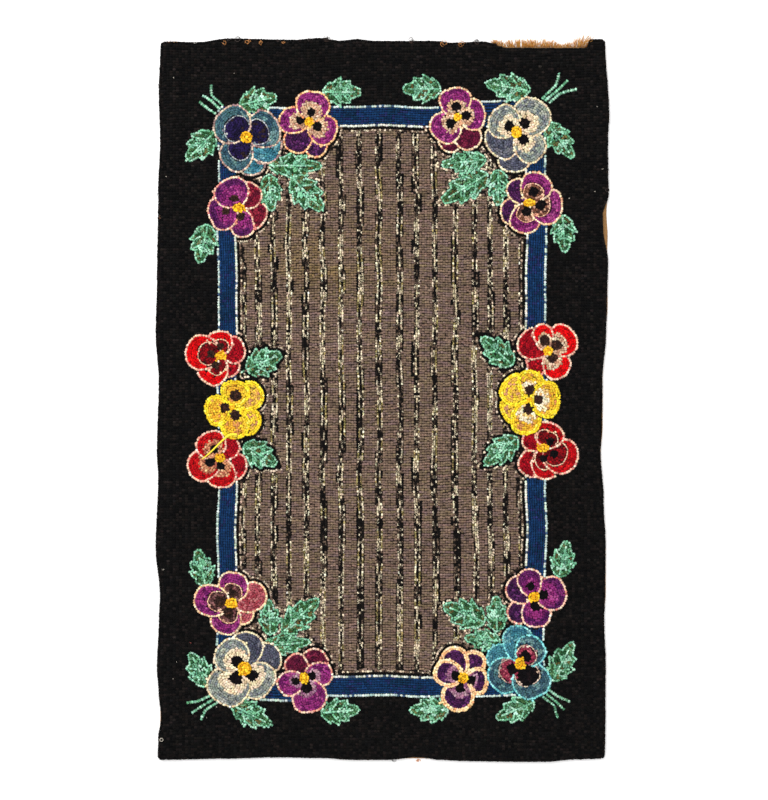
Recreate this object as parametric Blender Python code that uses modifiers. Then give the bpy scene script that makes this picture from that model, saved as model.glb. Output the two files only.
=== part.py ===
"""A hooked rug of about 28 by 45 inches, lying flat on z = 0, in metres with +Z up.

It has four pieces. The foundation is one sheet of burlap whose edge is turned under as a hem. The
hooked pile stands on it as one low slab with a rounded rim. The frayed edge is the raw threads that
stick out where the hem at the +Y end has worn through. The yarn tail is one end that has come out of
its loops and lies on the pile.

The rug's width runs along X and its length along Y. All sizes below are in mm.
"""

import math
from typing import NamedTuple

import bmesh
import bpy
import numpy as np

MM = 0.001

# Driving sizes
RUG_WIDTH = 710.0  # between the mean lines of the long sides
RUG_LENGTH = 1144.0  # between the mean lines of the short sides
CLOTH = 1.0  # thickness of the burlap
GAP = 0.3  # between layers that touch
HEM_WIDTH = 26.0  # how far the edge is turned under
HEM_SLOPE = 12.0  # over which the cloth comes down from its hem to the floor
CORNER_RADIUS = 7.0
PILE_HEIGHT = 5.2  # of the tallest loops over the cloth
PILE_UNEVENNESS = 0.1  # share of that height by which the loops vary
CELL = 34.0  # mesh size away from the edge
FADE = 20.0  # from the rim, over which the pile's own edge line fades out

SEAT_X = 343.0  # the hem bears on the floor along a rectangle, from the middle to its long sides,
SEAT_BOTTOM, SEAT_TOP = -560.0, 552.0  # and its short sides
SEAT_BOW = 0.4  # how far the sides of that rectangle bow inwards
SEAT_DROP = 0.01  # by which the hem there is lower than the cloth inside it
FOLD_LIFT = 0.15  # how far the fold itself stands off the floor

FRAY_START, FRAY_END = 178.0, 325.0  # the worn stretch of the +Y end, from the rug's middle line
FRAY_STRANDS = 60
FRAY_STRIP = 1.2  # width of the fused roots
FRAY_HEIGHT = 0.9
FRAY_SEED = 7

YARN_DIAMETER = 2.2
YARN_CLEARANCE = 0.35  # over the loops that it lies on
YARN_POINT_SPACING = 4.5

LAYER_STEP = CLOTH + GAP
HEM_LINE = HEM_WIDTH + 2.0  # where the upper layer starts to come down
FLAT_LINE = HEM_LINE + HEM_SLOPE  # where the cloth has reached the floor
RIM_LINES = (0.0, 2.5, 7.0, 16.0, HEM_LINE, FLAT_LINE)  # mesh lines, from each edge inwards
WORN_LINES = (532.0, 556.0, 686.0)  # more of them across the worn stretch, from the -X side


class Edge(NamedTuple):
    """One station of a side: where it is, and where the cloth and the loops end there."""

    along: float  # from the middle of the side, towards +X or +Y
    fold: float  # how far the folded cloth stands out from the side's mean line
    bare: float  # how much cloth the loops leave uncovered; below 0 they overhang it


LEFT_SIDE = (
    Edge(-572, 0, -1),
    Edge(-541, -1, -1),
    Edge(-505, -3, 2),
    Edge(-470, -2, -1),
    Edge(-427, 1, -1),
    Edge(-350, -2, -1),
    Edge(-312, -4, -1),
    Edge(-236, 3, -1),
    Edge(-122, -1, -1),
    Edge(-83, 1, -1),
    Edge(31, -2, -1),
    Edge(107, 3, -1),
    Edge(184, 1, -1),
    Edge(336, -1, -1),
    Edge(413, -4, -1),
    Edge(490, -2, -1),
    Edge(572, -5, -1),
)
RIGHT_SIDE = (
    Edge(-572, -1, -1),
    Edge(-500, 0, -1),
    Edge(-427, 2, 1),
    Edge(-350, -2, -1),
    Edge(-312, 2, 2),
    Edge(-236, 2, 1),
    Edge(-160, -2, 0),
    Edge(-84, -6, 1),
    Edge(-45, -3, 2),
    Edge(31, -3, 1),
    Edge(107, 2, 0),
    Edge(146, 5, 2),
    Edge(222, 4, -1),
    Edge(260, 5, 7),
    Edge(298, 3, 6),
    Edge(325, 5, -1),
    Edge(413, 4, -1),
    Edge(451, 6, -1),
    Edge(572, 1, 1),
)
BOTTOM_SIDE = (
    Edge(-355, 0, -1),
    Edge(-247, -2, -1),
    Edge(-171, -4, -1),
    Edge(-95, -3, -1),
    Edge(-44, 0, -1),
    Edge(10, 0, -1),
    Edge(57, -1, 3),
    Edge(95, 0, -1),
    Edge(134, 2, -1),
    Edge(210, 3, -1),
    Edge(261, 3, -1),
    Edge(312, -1, -1),
    Edge(355, -2, -1),
)
TOP_SIDE = (
    Edge(-355, -3, 0),
    Edge(-298, -4, 0),
    Edge(-247, 1, -1),
    Edge(-146, -1, -1),
    Edge(-95, 2, -1),
    Edge(-69, -3, -1),
    Edge(-44, 0, -1),
    Edge(-10, -3, -1),
    Edge(83, -2, 0),
    Edge(109, -4, 1),
    Edge(160, -3, 0),
    Edge(177, -5, 1),
    Edge(201, -11, 2.5),
    Edge(327, -11, 2.5),
    Edge(331, 0, -1),
    Edge(355, 0, -1),
)


class Fray(NamedTuple):
    """How far the raw threads reach from the worn hem at one place."""

    along: float  # from the rug's middle line, towards +X
    reach: float


FRAYED_THREADS = (
    Fray(178, 3),
    Fray(190, 7),
    Fray(205, 10),
    Fray(245, 11),
    Fray(272, 9),
    Fray(290, 4),
    Fray(305, 6),
    Fray(325, 12),
)


class Route(NamedTuple):
    """A point of the yarn tail, from the rug's middle."""

    x: float
    y: float


YARN_ROUTE = (
    Route(-230, -55.5),
    Route(-241, -56),
    Route(-250, -62.5),
    Route(-261, -73),
    Route(-269.5, -81.5),
    Route(-279, -90),
    Route(-285.5, -94.5),
)


def clear_scene():
    """Removes the objects that are there at the start."""
    for obj in list(bpy.data.objects):
        bpy.data.objects.remove(obj, do_unlink=True)


def new_collection(name):
    collection = bpy.data.collections.new(name)
    bpy.context.scene.collection.children.link(collection)
    return collection


def principled(name, colour, roughness):
    """A cloth finish: a Principled BSDF of one colour."""
    material = bpy.data.materials.new(name)
    material.use_nodes = True
    shader = material.node_tree.nodes["Principled BSDF"]
    shader.inputs["Base Color"].default_value = (*colour, 1.0)
    shader.inputs["Roughness"].default_value = roughness
    shader.inputs["Metallic"].default_value = 0.0
    material.diffuse_color = (*colour, 1.0)
    return material


def new_object(name, data, material, parent, collection):
    obj = bpy.data.objects.new(name, data)
    data.materials.append(material)
    obj.parent = parent
    collection.objects.link(obj)
    return obj


def eased(at, rows, column):
    """A column of a table at any place, easing out of each row and into the next."""
    stations = np.array([row[0] for row in rows], float)
    values = np.array([getattr(row, column) for row in rows], float)
    row = np.clip(np.searchsorted(stations, at) - 1, 0, len(stations) - 2)
    share = np.clip((at - stations[row]) / (stations[row + 1] - stations[row]), 0, 1)
    share = share * share * (3 - 2 * share)
    return values[row] + (values[row + 1] - values[row]) * share


def round_corners(across, along):
    """Rounds the four corners of the plain rectangle, and returns both distances again.

    In a corner's square of CORNER_RADIUS, out is 0 on the two inner sides and 1 on the rug's sides,
    and each of its two parts shrinks as the other grows, which turns the square into a quarter disc.
    """
    place = np.array([across, along])
    length = np.array([RUG_WIDTH, RUG_LENGTH]).reshape(2, *[1] * np.ndim(across))
    inset = np.minimum(place, length - place)
    inwards = np.where(place < length / 2, 1.0, -1.0)
    out = np.clip(1 - inset / CORNER_RADIUS, 0, 1)
    rounded = out * np.sqrt(1 - out[::-1] ** 2 / 2)
    return place + inwards * (out - rounded) * CORNER_RADIUS


def rug_points(across, along, pile=False):
    """Places stations on the rug, as x and y.

    across and along are distances from the -X and -Y sides of a plain rectangle. The tables bend its
    four sides, and points between two sides move by their share of each. The pile has its own edge
    line, which fades out within FADE of the rim.
    """
    across, along = round_corners(across, along)
    x = across - RUG_WIDTH / 2
    y = along - RUG_LENGTH / 2
    share_x, share_y = across / RUG_WIDTH, along / RUG_LENGTH
    moved_x = eased(y, RIGHT_SIDE, "fold") * share_x - eased(y, LEFT_SIDE, "fold") * (1 - share_x)
    moved_y = eased(x, TOP_SIDE, "fold") * share_y - eased(x, BOTTOM_SIDE, "fold") * (1 - share_y)
    if pile:
        moved_x += eased(y, LEFT_SIDE, "bare") * faded(across)
        moved_x -= eased(y, RIGHT_SIDE, "bare") * faded(RUG_WIDTH - across)
        moved_y += eased(x, BOTTOM_SIDE, "bare") * faded(along)
        moved_y -= eased(x, TOP_SIDE, "bare") * faded(RUG_LENGTH - along)
    return x + moved_x, y + moved_y


def faded(distance):
    """1 at the rim, down to 0 at FADE from it."""
    return np.clip(1 - distance / FADE, 0, 1) ** 2


def stations(length, more=()):
    """Mesh lines over a length: close together at both rims, then CELL apart or a little less."""
    cells = math.ceil((length - 2 * FLAT_LINE) / CELL)
    middle = np.linspace(FLAT_LINE, length - FLAT_LINE, cells + 1)
    rim = np.array(RIM_LINES)
    return np.unique(np.concatenate([rim, middle, length - rim, more]).round(3))


def perimeter(inset):
    """Points round the rug at one inset from its edge, counter-clockwise from the -X, -Y corner."""
    across = inset + stations(RUG_WIDTH, WORN_LINES) * (1 - 2 * inset / RUG_WIDTH)
    along = inset + stations(RUG_LENGTH) * (1 - 2 * inset / RUG_LENGTH)
    low_x, high_x = np.full(len(along) - 1, across[0]), np.full(len(along) - 1, across[-1])
    low_y, high_y = np.full(len(across) - 1, along[0]), np.full(len(across) - 1, along[-1])
    x = np.concatenate([across[:-1], high_x, across[:0:-1], low_x])
    y = np.concatenate([low_y, along[:-1], high_y, along[:0:-1]])
    return np.stack(rug_points(x, y), axis=1)


def unevenness(x, y):
    """0 to 1 over the pile: a slow swell, two sine waves that bend each other."""
    swell = np.sin(x / 47 + 1.3 * np.sin(y / 83)) + np.cos(y / 61 + 1.1 * np.sin(x / 71))
    return 0.5 + 0.25 * swell


def hem_profile():
    """The cloth's middle line from the flat part out to the fold and back under it: (inset, z).

    Between the fold and the hem's end it runs along seat_line, which has no inset.
    """
    radius = LAYER_STEP / 2
    centre_inset = radius + CLOTH / 2
    centre_z = CLOTH / 2 + radius
    turn = np.radians([90, 30, -30, -90])
    lift = FOLD_LIFT * (1 - np.sin(turn)) / 2
    fold = [
        (centre_inset - radius * math.cos(a), centre_z + radius * math.sin(a) + up)
        for a, up in zip(turn, lift)
    ]
    upper = CLOTH / 2 + LAYER_STEP
    seat = (None, CLOTH / 2 - SEAT_DROP)
    return [(FLAT_LINE, CLOTH / 2), (HEM_LINE, upper), *fold, seat, (HEM_WIDTH, CLOTH / 2)]


def seat_line():
    """Where the hem bears on the floor: a rectangle with sides bowed a little inwards, as perimeter.

    Its points lie straight inside those of the fold, and are drawn together only near its corners.
    """
    across, along = stations(RUG_WIDTH, WORN_LINES), stations(RUG_LENGTH)
    near_x = SEAT_X - (RUG_WIDTH / 2 - SEAT_X) / 3
    inner = RUG_WIDTH / 2 - near_x
    x = np.interp(
        across, (0, inner, RUG_WIDTH - inner, RUG_WIDTH), (-SEAT_X, -near_x, near_x, SEAT_X)
    )
    half = RUG_LENGTH / 2
    inner = 2 * (half - SEAT_TOP)
    near = (-half + inner, half - inner)
    y = np.interp(
        along, (0, inner, RUG_LENGTH - inner, RUG_LENGTH), (SEAT_BOTTOM, *near, SEAT_TOP)
    )
    share_x, share_y = (x + SEAT_X) / (2 * SEAT_X), (y - SEAT_BOTTOM) / (SEAT_TOP - SEAT_BOTTOM)
    bow_x = SEAT_BOW * 4 * share_y * (1 - share_y)
    bow_y = SEAT_BOW * 4 * share_x * (1 - share_x)
    low = np.stack([x, SEAT_BOTTOM + bow_y], axis=1)
    right = np.stack([SEAT_X - bow_x, y], axis=1)
    top = np.stack([x, SEAT_TOP - bow_y], axis=1)
    left = np.stack([bow_x - SEAT_X, y], axis=1)
    return np.concatenate([low[:-1], right[:-1], top[:0:-1], left[:0:-1]])


def foundation(parent, collection):
    """The burlap: a flat sheet, with its edge carried up over the hem, round the fold and back."""
    rings = hem_profile()
    shape = bmesh.new()
    inset, z = rings[0]
    corners = [shape.verts.new((x * MM, y * MM, z * MM)) for x, y in perimeter(inset)]
    shape.faces.new(corners)
    edges = list(shape.edges)
    for inset, z in rings[1:]:
        line = seat_line() if inset is None else perimeter(inset)
        places = dict(zip(corners, line))
        outer = {}
        extruded = bmesh.ops.extrude_edge_only(shape, edges=edges)["geom"]
        edges = [item for item in extruded if isinstance(item, bmesh.types.BMEdge)]
        edges = [edge for edge in edges if edge.is_boundary]
        for vert in {vert for edge in edges for vert in edge.verts}:
            inner = next(e.other_vert(vert) for e in vert.link_edges if not e.is_boundary)
            x, y = places[inner]
            vert.co = (x * MM, y * MM, z * MM)
            outer[inner] = vert
        corners = [outer[corner] for corner in corners]
    bmesh.ops.recalc_face_normals(shape, faces=shape.faces)
    shape.faces.ensure_lookup_table()
    if shape.faces[0].normal.z < 0:
        bmesh.ops.reverse_faces(shape, faces=shape.faces)
    mesh = bpy.data.meshes.new("foundation")
    shape.to_mesh(mesh)
    shape.free()
    material = principled("burlap", (0.42, 0.28, 0.15), 0.95)
    obj = new_object("foundation", mesh, material, parent, collection)
    thick = obj.modifiers.new("burlap thickness", "SOLIDIFY")
    thick.thickness = CLOTH * MM
    thick.offset = 0
    mesh.shade_smooth()
    return obj


def hooked_pile(parent, collection):
    """The loops as one slab: its underside follows the cloth, and its rim and top are rounded."""
    across, along = stations(RUG_WIDTH, WORN_LINES), stations(RUG_LENGTH)
    shape = bmesh.new()
    bmesh.ops.create_grid(shape, x_segments=len(across) - 1, y_segments=len(along) - 1, size=1)
    grid = np.array([vert.co for vert in shape.verts])
    column = ((grid[:, 0] + 1) / 2 * (len(across) - 1)).round().astype(int)
    row = ((grid[:, 1] + 1) / 2 * (len(along) - 1)).round().astype(int)
    u, v = across[column], along[row]
    x, y = rug_points(u, v, pile=True)
    rim = np.minimum(np.minimum(u, RUG_WIDTH - u), np.minimum(v, RUG_LENGTH - v))
    z = LAYER_STEP + LAYER_STEP * np.interp(rim, (HEM_LINE, FLAT_LINE), (1, 0))
    for vert, place in zip(shape.verts, np.stack([x, y, z], axis=1) * MM):
        vert.co = place
    mesh = bpy.data.meshes.new("hooked_pile")
    shape.to_mesh(mesh)
    shape.free()
    material = principled("wool loops", (0.012, 0.011, 0.012), 0.9)
    obj = new_object("hooked_pile", mesh, material, parent, collection)

    share = np.interp(rim, RIM_LINES[:4], (0.6, 0.88, 0.98, 1))
    share = share * (1 - PILE_UNEVENNESS * unevenness(x, y))
    group = obj.vertex_groups.new(name="loop height")
    for index, weight in enumerate(share):
        group.add([index], weight, "REPLACE")
    thick = obj.modifiers.new("loop height", "SOLIDIFY")
    thick.thickness = PILE_HEIGHT * MM
    thick.offset = 1
    thick.vertex_group = group.name
    flat = obj.modifiers.new("flat underside", "DECIMATE")
    flat.decimate_type = "DISSOLVE"
    flat.angle_limit = math.radians(0.02)
    mesh.shade_smooth()
    return obj


def cloth_edge(x):
    """y of the worn cloth's edge at x, straight between the mesh lines as in the foundation."""
    across = stations(RUG_WIDTH, WORN_LINES)
    line_x, line_y = rug_points(across, np.full(len(across), RUG_LENGTH))
    return np.interp(x, line_x, line_y)


def frayed_edge(parent, collection):
    """The raw threads: a narrow strip of fused roots, with every second cell drawn out to a tip."""
    chance = np.random.default_rng(FRAY_SEED)
    cells = 2 * FRAY_STRANDS + 1
    shape = bmesh.new()
    bmesh.ops.create_grid(shape, x_segments=cells, y_segments=1, size=0.5)
    for vert in shape.verts:
        x = FRAY_START + (vert.co.x + 0.5) * (FRAY_END - FRAY_START)
        y = cloth_edge(x) + GAP + (vert.co.y + 0.5) * FRAY_STRIP
        vert.co = (x * MM, y * MM, 0)
    roof = bmesh.ops.extrude_face_region(shape, geom=shape.faces[:])["geom"]
    raised = [item for item in roof if isinstance(item, bmesh.types.BMVert)]
    bmesh.ops.translate(shape, verts=raised, vec=(0, 0, FRAY_HEIGHT * MM))
    bmesh.ops.recalc_face_normals(shape, faces=shape.faces)
    outer = [face for face in shape.faces if face.normal.y > 0.8]
    outer.sort(key=lambda face: face.calc_center_median().x)
    for face in outer[1::2]:
        root = face.calc_center_median()
        reach = eased(root.x / MM, FRAYED_THREADS, "reach") * chance.uniform(0.75, 1.0)
        lean = chance.uniform(-0.7, 0.7)
        for share, width in ((0.5, 0.75), (1.0, 0.35)):
            face = bmesh.ops.extrude_discrete_faces(shape, faces=[face])["faces"][0]
            middle = face.calc_center_median()
            target_x = root.x + lean * share**2 * MM
            target_y = root.y + reach * share * MM
            for vert in face.verts:
                side = math.copysign(0.5 * width * (FRAY_END - FRAY_START) / cells, vert.co.x - middle.x)
                top = vert.co.z > middle.z
                vert.co = (target_x + side * MM, target_y, FRAY_HEIGHT * width * MM if top else 0)
    mesh = bpy.data.meshes.new("frayed_edge")
    shape.to_mesh(mesh)
    shape.free()
    return new_object(
        "frayed_edge", mesh, principled("raw burlap", (0.55, 0.34, 0.15), 0.95), parent, collection
    )


def smooth_route(points, spacing):
    """Evenly spaced points on a smooth curve through the given ones, by Catmull-Rom."""
    points = np.array(points, float)
    ends = np.concatenate([2 * points[:1] - points[1:2], points, 2 * points[-1:] - points[-2:-1]])
    t = np.linspace(0, 1, 12, endpoint=False)[:, None]
    spans = []
    for before, start, stop, after in zip(ends, ends[1:], ends[2:], ends[3:]):
        bend = 2 * before - 5 * start + 4 * stop - after
        twist = 3 * start - before - 3 * stop + after
        spans.append(start + 0.5 * (t * (stop - before) + t**2 * bend + t**3 * twist))
    fine = np.concatenate([*spans, points[-1:]])
    run = np.concatenate([[0], np.cumsum(np.linalg.norm(np.diff(fine, axis=0), axis=1))])
    at = np.linspace(0, run[-1], math.ceil(run[-1] / spacing) + 1)
    return np.stack([np.interp(at, run, fine[:, 0]), np.interp(at, run, fine[:, 1])], axis=1)


def yarn_tail(parent, collection):
    """The loose yarn end, a tube that lies on top of the loops."""
    route = smooth_route(YARN_ROUTE, YARN_POINT_SPACING)
    x, y = route[:, 0], route[:, 1]
    loops = LAYER_STEP + PILE_HEIGHT * (1 - PILE_UNEVENNESS * unevenness(x, y))
    z = loops + YARN_CLEARANCE + YARN_DIAMETER / 2
    curve = bpy.data.curves.new("yarn_tail", "CURVE")
    curve.dimensions = "3D"
    curve.bevel_depth = YARN_DIAMETER / 2 * MM
    curve.bevel_resolution = 2
    curve.use_fill_caps = True
    spline = curve.splines.new("POLY")
    spline.points.add(len(x) - 1)
    for point, place in zip(spline.points, np.stack([x, y, z], axis=1) * MM):
        point.co = (*place, 1)
    material = principled("yellow yarn", (0.75, 0.6, 0.06), 0.85)
    return new_object("yarn_tail", curve, material, parent, collection)


def put_origin_under_middle(origin, pieces):
    """Moves the rug so that its box is centred on x = y = 0 and stands on z = 0."""
    bpy.context.view_layer.update()
    graph = bpy.context.evaluated_depsgraph_get()
    corners = np.array([c for piece in pieces for c in piece.evaluated_get(graph).bound_box])
    middle = (corners.min(axis=0) + corners.max(axis=0)) / 2
    origin.location = (-middle[0], -middle[1], -corners[:, 2].min())


def main():
    clear_scene()
    collection = new_collection("hooked rug")
    origin = bpy.data.objects.new("rug_origin", None)
    collection.objects.link(origin)
    pieces = [
        foundation(origin, collection),
        hooked_pile(origin, collection),
        frayed_edge(origin, collection),
    ]
    yarn_tail(origin, collection)
    put_origin_under_middle(origin, pieces)


main()
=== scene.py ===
"""The finished look of the hooked rug: its loops of wool, its burlap, its frayed threads and one yarn end.

The rug is hooked here as a maker hooks one. The motifs go in first, outline before filling, then the
frame of blue round the field, then the stripes and the field, then the border. Each row of loops only
takes places on the canvas that are still free, so no loop is hooked over another. Pansies and leaves
are formulas: a petal is a rounded oval on its own axis, a leaf is a toothed lens.

All plans are in mm from the middle lines of the rug's sides, +X across it and +Y along it.
"""

import logging
import math
from collections.abc import Callable
from dataclasses import dataclass, field
from enum import Enum
from typing import NamedTuple

import bpy
import numpy as np
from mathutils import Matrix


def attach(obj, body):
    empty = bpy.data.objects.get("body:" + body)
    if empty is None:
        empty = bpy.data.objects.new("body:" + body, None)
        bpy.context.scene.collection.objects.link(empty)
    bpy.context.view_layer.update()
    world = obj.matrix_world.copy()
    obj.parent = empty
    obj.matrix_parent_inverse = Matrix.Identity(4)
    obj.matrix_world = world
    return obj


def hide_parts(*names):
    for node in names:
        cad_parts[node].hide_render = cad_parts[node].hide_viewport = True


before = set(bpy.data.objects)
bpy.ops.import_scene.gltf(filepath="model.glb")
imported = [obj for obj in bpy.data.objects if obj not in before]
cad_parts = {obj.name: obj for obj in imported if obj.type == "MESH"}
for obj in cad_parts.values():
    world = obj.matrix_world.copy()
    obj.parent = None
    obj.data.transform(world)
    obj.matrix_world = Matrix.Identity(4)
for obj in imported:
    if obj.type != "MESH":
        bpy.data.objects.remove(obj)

log = logging.getLogger("hooked_rug")

MM = 0.001
SHIFT = np.array([-1.366, 1.09, 0.01])
"""From the middle lines of the rug's sides to the frame's origin, in mm."""

Dye = tuple[int, int, int]
"""A colour as it is seen, in sRGB numbers from 0 to 255."""

Winder = Callable[[np.ndarray, np.ndarray], np.ndarray]
"""Gives the loops at x, y their dye and the dye of their flecks: rows of six linear numbers."""


class Part(Enum):
    """The pieces that the loops are gathered in."""

    BORDER = "loops_border"
    FIELD = "loops_field"
    BAND = "loops_band"
    PANSIES = "loops_pansies"
    LEAVES = "loops_leaves"


class Station(NamedTuple):
    """One place along a side of the rug: where the folded cloth and the loops end there."""

    along: float
    fold: float
    bare: float


LEFT_SIDE = (
    Station(-572, 0, -1),
    Station(-541, -1, -1),
    Station(-505, -3, 2),
    Station(-470, -2, -1),
    Station(-427, 1, -1),
    Station(-350, -2, -1),
    Station(-312, -4, -1),
    Station(-236, 3, -1),
    Station(-122, -1, -1),
    Station(-83, 1, -1),
    Station(31, -2, -1),
    Station(107, 3, -1),
    Station(184, 1, -1),
    Station(336, -1, -1),
    Station(413, -4, -1),
    Station(490, -2, -1),
    Station(572, -5, -1),
)
RIGHT_SIDE = (
    Station(-572, -1, -1),
    Station(-500, 0, -1),
    Station(-427, 2, 1),
    Station(-350, -2, -1),
    Station(-312, 2, 2),
    Station(-236, 2, 1),
    Station(-160, -2, 0),
    Station(-84, -6, 1),
    Station(-45, -3, 2),
    Station(31, -3, 1),
    Station(107, 2, 0),
    Station(146, 5, 2),
    Station(222, 4, -1),
    Station(260, 5, 7),
    Station(298, 3, 6),
    Station(325, 5, -1),
    Station(413, 4, -1),
    Station(451, 6, -1),
    Station(572, 1, 1),
)
BOTTOM_SIDE = (
    Station(-355, 0, -1),
    Station(-247, -2, -1),
    Station(-171, -4, -1),
    Station(-95, -3, -1),
    Station(-44, 0, -1),
    Station(10, 0, -1),
    Station(57, -1, 3),
    Station(95, 0, -1),
    Station(134, 2, -1),
    Station(210, 3, -1),
    Station(261, 3, -1),
    Station(312, -1, -1),
    Station(355, -2, -1),
)
TOP_SIDE = (
    Station(-355, -3, 0),
    Station(-298, -4, 0),
    Station(-247, 1, -1),
    Station(-146, -1, -1),
    Station(-95, 2, -1),
    Station(-69, -3, -1),
    Station(-44, 0, -1),
    Station(-10, -3, -1),
    Station(83, -2, 0),
    Station(109, -4, 1),
    Station(160, -3, 0),
    Station(177, -5, 1),
    Station(201, -11, 2.5),
    Station(327, -11, 2.5),
    Station(331, 0, -1),
    Station(355, 0, -1),
)


def linear(dyes: np.ndarray | Dye | tuple[Dye, ...]) -> np.ndarray:
    """Turns sRGB numbers from 0 to 255 into linear light from 0 to 1."""
    share = np.asarray(dyes, float) / 255
    return np.where(share <= 0.04045, share / 12.92, ((share + 0.055) / 1.055) ** 2.4)


def smooth(share: np.ndarray) -> np.ndarray:
    """The ease-in, ease-out cubic of a share, held between 0 and 1."""
    share = np.clip(share, 0, 1)
    return share * share * (3 - 2 * share)


def patches(x: np.ndarray, y: np.ndarray, size: float, seed: int) -> np.ndarray:
    """Value noise: random numbers on a square grid, eased from one to the next.

    Args:
        x: Places across, in mm.
        y: Places along, in mm.
        size: Width of the grid's cells, in mm.
        seed: Picks the random numbers.

    Returns:
        A number from 0 to 1 for each place.
    """
    grid = np.random.default_rng(seed).random((97, 97))
    u, v = x / size, y / size
    column, row = np.floor(u).astype(int), np.floor(v).astype(int)
    across, along = smooth(u - column), smooth(v - row)
    low = grid[row % 97, column % 97] * (1 - across) + grid[row % 97, (column + 1) % 97] * across
    high_row = (row + 1) % 97
    high = grid[high_row, column % 97] * (1 - across) + grid[high_row, (column + 1) % 97] * across
    return low * (1 - along) + high * along


@dataclass(frozen=True)
class Outline:
    """The rug's outline and levels, by the same formulas as the solid frame.

    Attributes:
        width: Between the mean lines of the long sides.
        length: Between the mean lines of the short sides.
        corner: Radius of the four corners.
        pile_fade: From the rim, over which the pile's own edge line fades out.
        cloth: Thickness of the burlap; not used.
        layer: From one layer of cloth to the next one over it.
        hem_line: From the edge to where the upper layer starts to come down.
        flat_line: From the edge to where it has reached the floor.
        pile: Height of the tallest loops over the cloth.
        swell: Share of that height by which the loops vary.
    """

    width: float = 710.0
    length: float = 1144.0
    corner: float = 7.0
    pile_fade: float = 20.0
    cloth: float = 1.0
    layer: float = 1.3
    hem_line: float = 28.0
    flat_line: float = 40.0
    pile: float = 5.2
    swell: float = 0.1

    @staticmethod
    def eased(at: np.ndarray, rows: tuple[Station, ...], column: str) -> np.ndarray:
        """Reads a column of a side's table at any place, easing from each row to the next."""
        along = np.array([row.along for row in rows], float)
        values = np.array([getattr(row, column) for row in rows], float)
        row = np.clip(np.searchsorted(along, at) - 1, 0, len(along) - 2)
        share = smooth((at - along[row]) / (along[row + 1] - along[row]))
        return values[row] + (values[row + 1] - values[row]) * share

    def rounded(self, across: np.ndarray, along: np.ndarray) -> np.ndarray:
        """Rounds the four corners: in a corner's square each distance shrinks as the other grows."""
        place = np.array([across, along])
        length = np.array([self.width, self.length]).reshape(2, *[1] * np.ndim(across))
        inset = np.minimum(place, length - place)
        inwards = np.where(place < length / 2, 1.0, -1.0)
        out = np.clip(1 - inset / self.corner, 0, 1)
        turned = out * np.sqrt(1 - out[::-1] ** 2 / 2)
        return place + inwards * (out - turned) * self.corner

    def points(self, across: np.ndarray, along: np.ndarray, pile: bool = False) -> np.ndarray:
        """Places stations of a plain rectangle on the rug.

        Args:
            across: Distances from the -X side of the rectangle.
            along: Distances from its -Y side.
            pile: Whether the loops' own edge line is meant, not the cloth's.

        Returns:
            x and y, as the last axis.
        """
        across, along = self.rounded(across, along)
        x, y = across - self.width / 2, along - self.length / 2
        share_x, share_y = across / self.width, along / self.length
        left, right = self.eased(y, LEFT_SIDE, "fold"), self.eased(y, RIGHT_SIDE, "fold")
        low, high = self.eased(x, BOTTOM_SIDE, "fold"), self.eased(x, TOP_SIDE, "fold")
        moved_x = right * share_x - left * (1 - share_x)
        moved_y = high * share_y - low * (1 - share_y)
        if pile:
            moved_x += self.eased(y, LEFT_SIDE, "bare") * self.faded(across)
            moved_x -= self.eased(y, RIGHT_SIDE, "bare") * self.faded(self.width - across)
            moved_y += self.eased(x, BOTTOM_SIDE, "bare") * self.faded(along)
            moved_y -= self.eased(x, TOP_SIDE, "bare") * self.faded(self.length - along)
        return np.stack([x + moved_x, y + moved_y], axis=-1)

    def faded(self, distance: np.ndarray) -> np.ndarray:
        """1 at the rim, down to 0 at pile_fade from it."""
        return np.clip(1 - distance / self.pile_fade, 0, 1) ** 2

    def ring(self, inset: float, across: np.ndarray, along: np.ndarray, pile: bool = False) -> np.ndarray:
        """Points round the rug at one inset, counter-clockwise from the -X, -Y corner.

        Args:
            inset: Distance from the edge.
            across: Mesh lines over the width, from 0 to the full width.
            along: Mesh lines over the length.
            pile: Whether the loops' own edge line is meant.

        Returns:
            The points, without the first one again at the end.
        """
        u = inset + across * (1 - 2 * inset / self.width)
        v = inset + along * (1 - 2 * inset / self.length)
        low_x, high_x = np.full(len(v) - 1, u[0]), np.full(len(v) - 1, u[-1])
        low_y, high_y = np.full(len(u) - 1, v[0]), np.full(len(u) - 1, v[-1])
        x = np.concatenate([u[:-1], high_x, u[:0:-1], low_x])
        y = np.concatenate([low_y, v[:-1], high_y, v[:0:-1]])
        return self.points(x, y, pile)

    def margin(self, x: np.ndarray, y: np.ndarray) -> np.ndarray:
        """How far places lie inside the edge of the loops; below 0 they are off the rug."""
        left = x + self.width / 2 + self.eased(y, LEFT_SIDE, "fold") - self.eased(y, LEFT_SIDE, "bare")
        right = self.width / 2 - x + self.eased(y, RIGHT_SIDE, "fold") - self.eased(y, RIGHT_SIDE, "bare")
        low = y + self.length / 2 + self.eased(x, BOTTOM_SIDE, "fold") - self.eased(x, BOTTOM_SIDE, "bare")
        high = self.length / 2 - y + self.eased(x, TOP_SIDE, "fold") - self.eased(x, TOP_SIDE, "bare")
        across, along = np.minimum(left, right), np.minimum(low, high)
        corner = self.corner - np.hypot(
            np.clip(self.corner - across, 0, None), np.clip(self.corner - along, 0, None)
        )
        return np.where((across < self.corner) & (along < self.corner), corner, np.minimum(across, along))

    def unevenness(self, x: np.ndarray, y: np.ndarray) -> np.ndarray:
        """0 to 1 over the pile: a slow swell, two sine waves that bend each other."""
        swell = np.sin(x / 47 + 1.3 * np.sin(y / 83)) + np.cos(y / 61 + 1.1 * np.sin(x / 71))
        return 0.5 + 0.25 * swell

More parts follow.
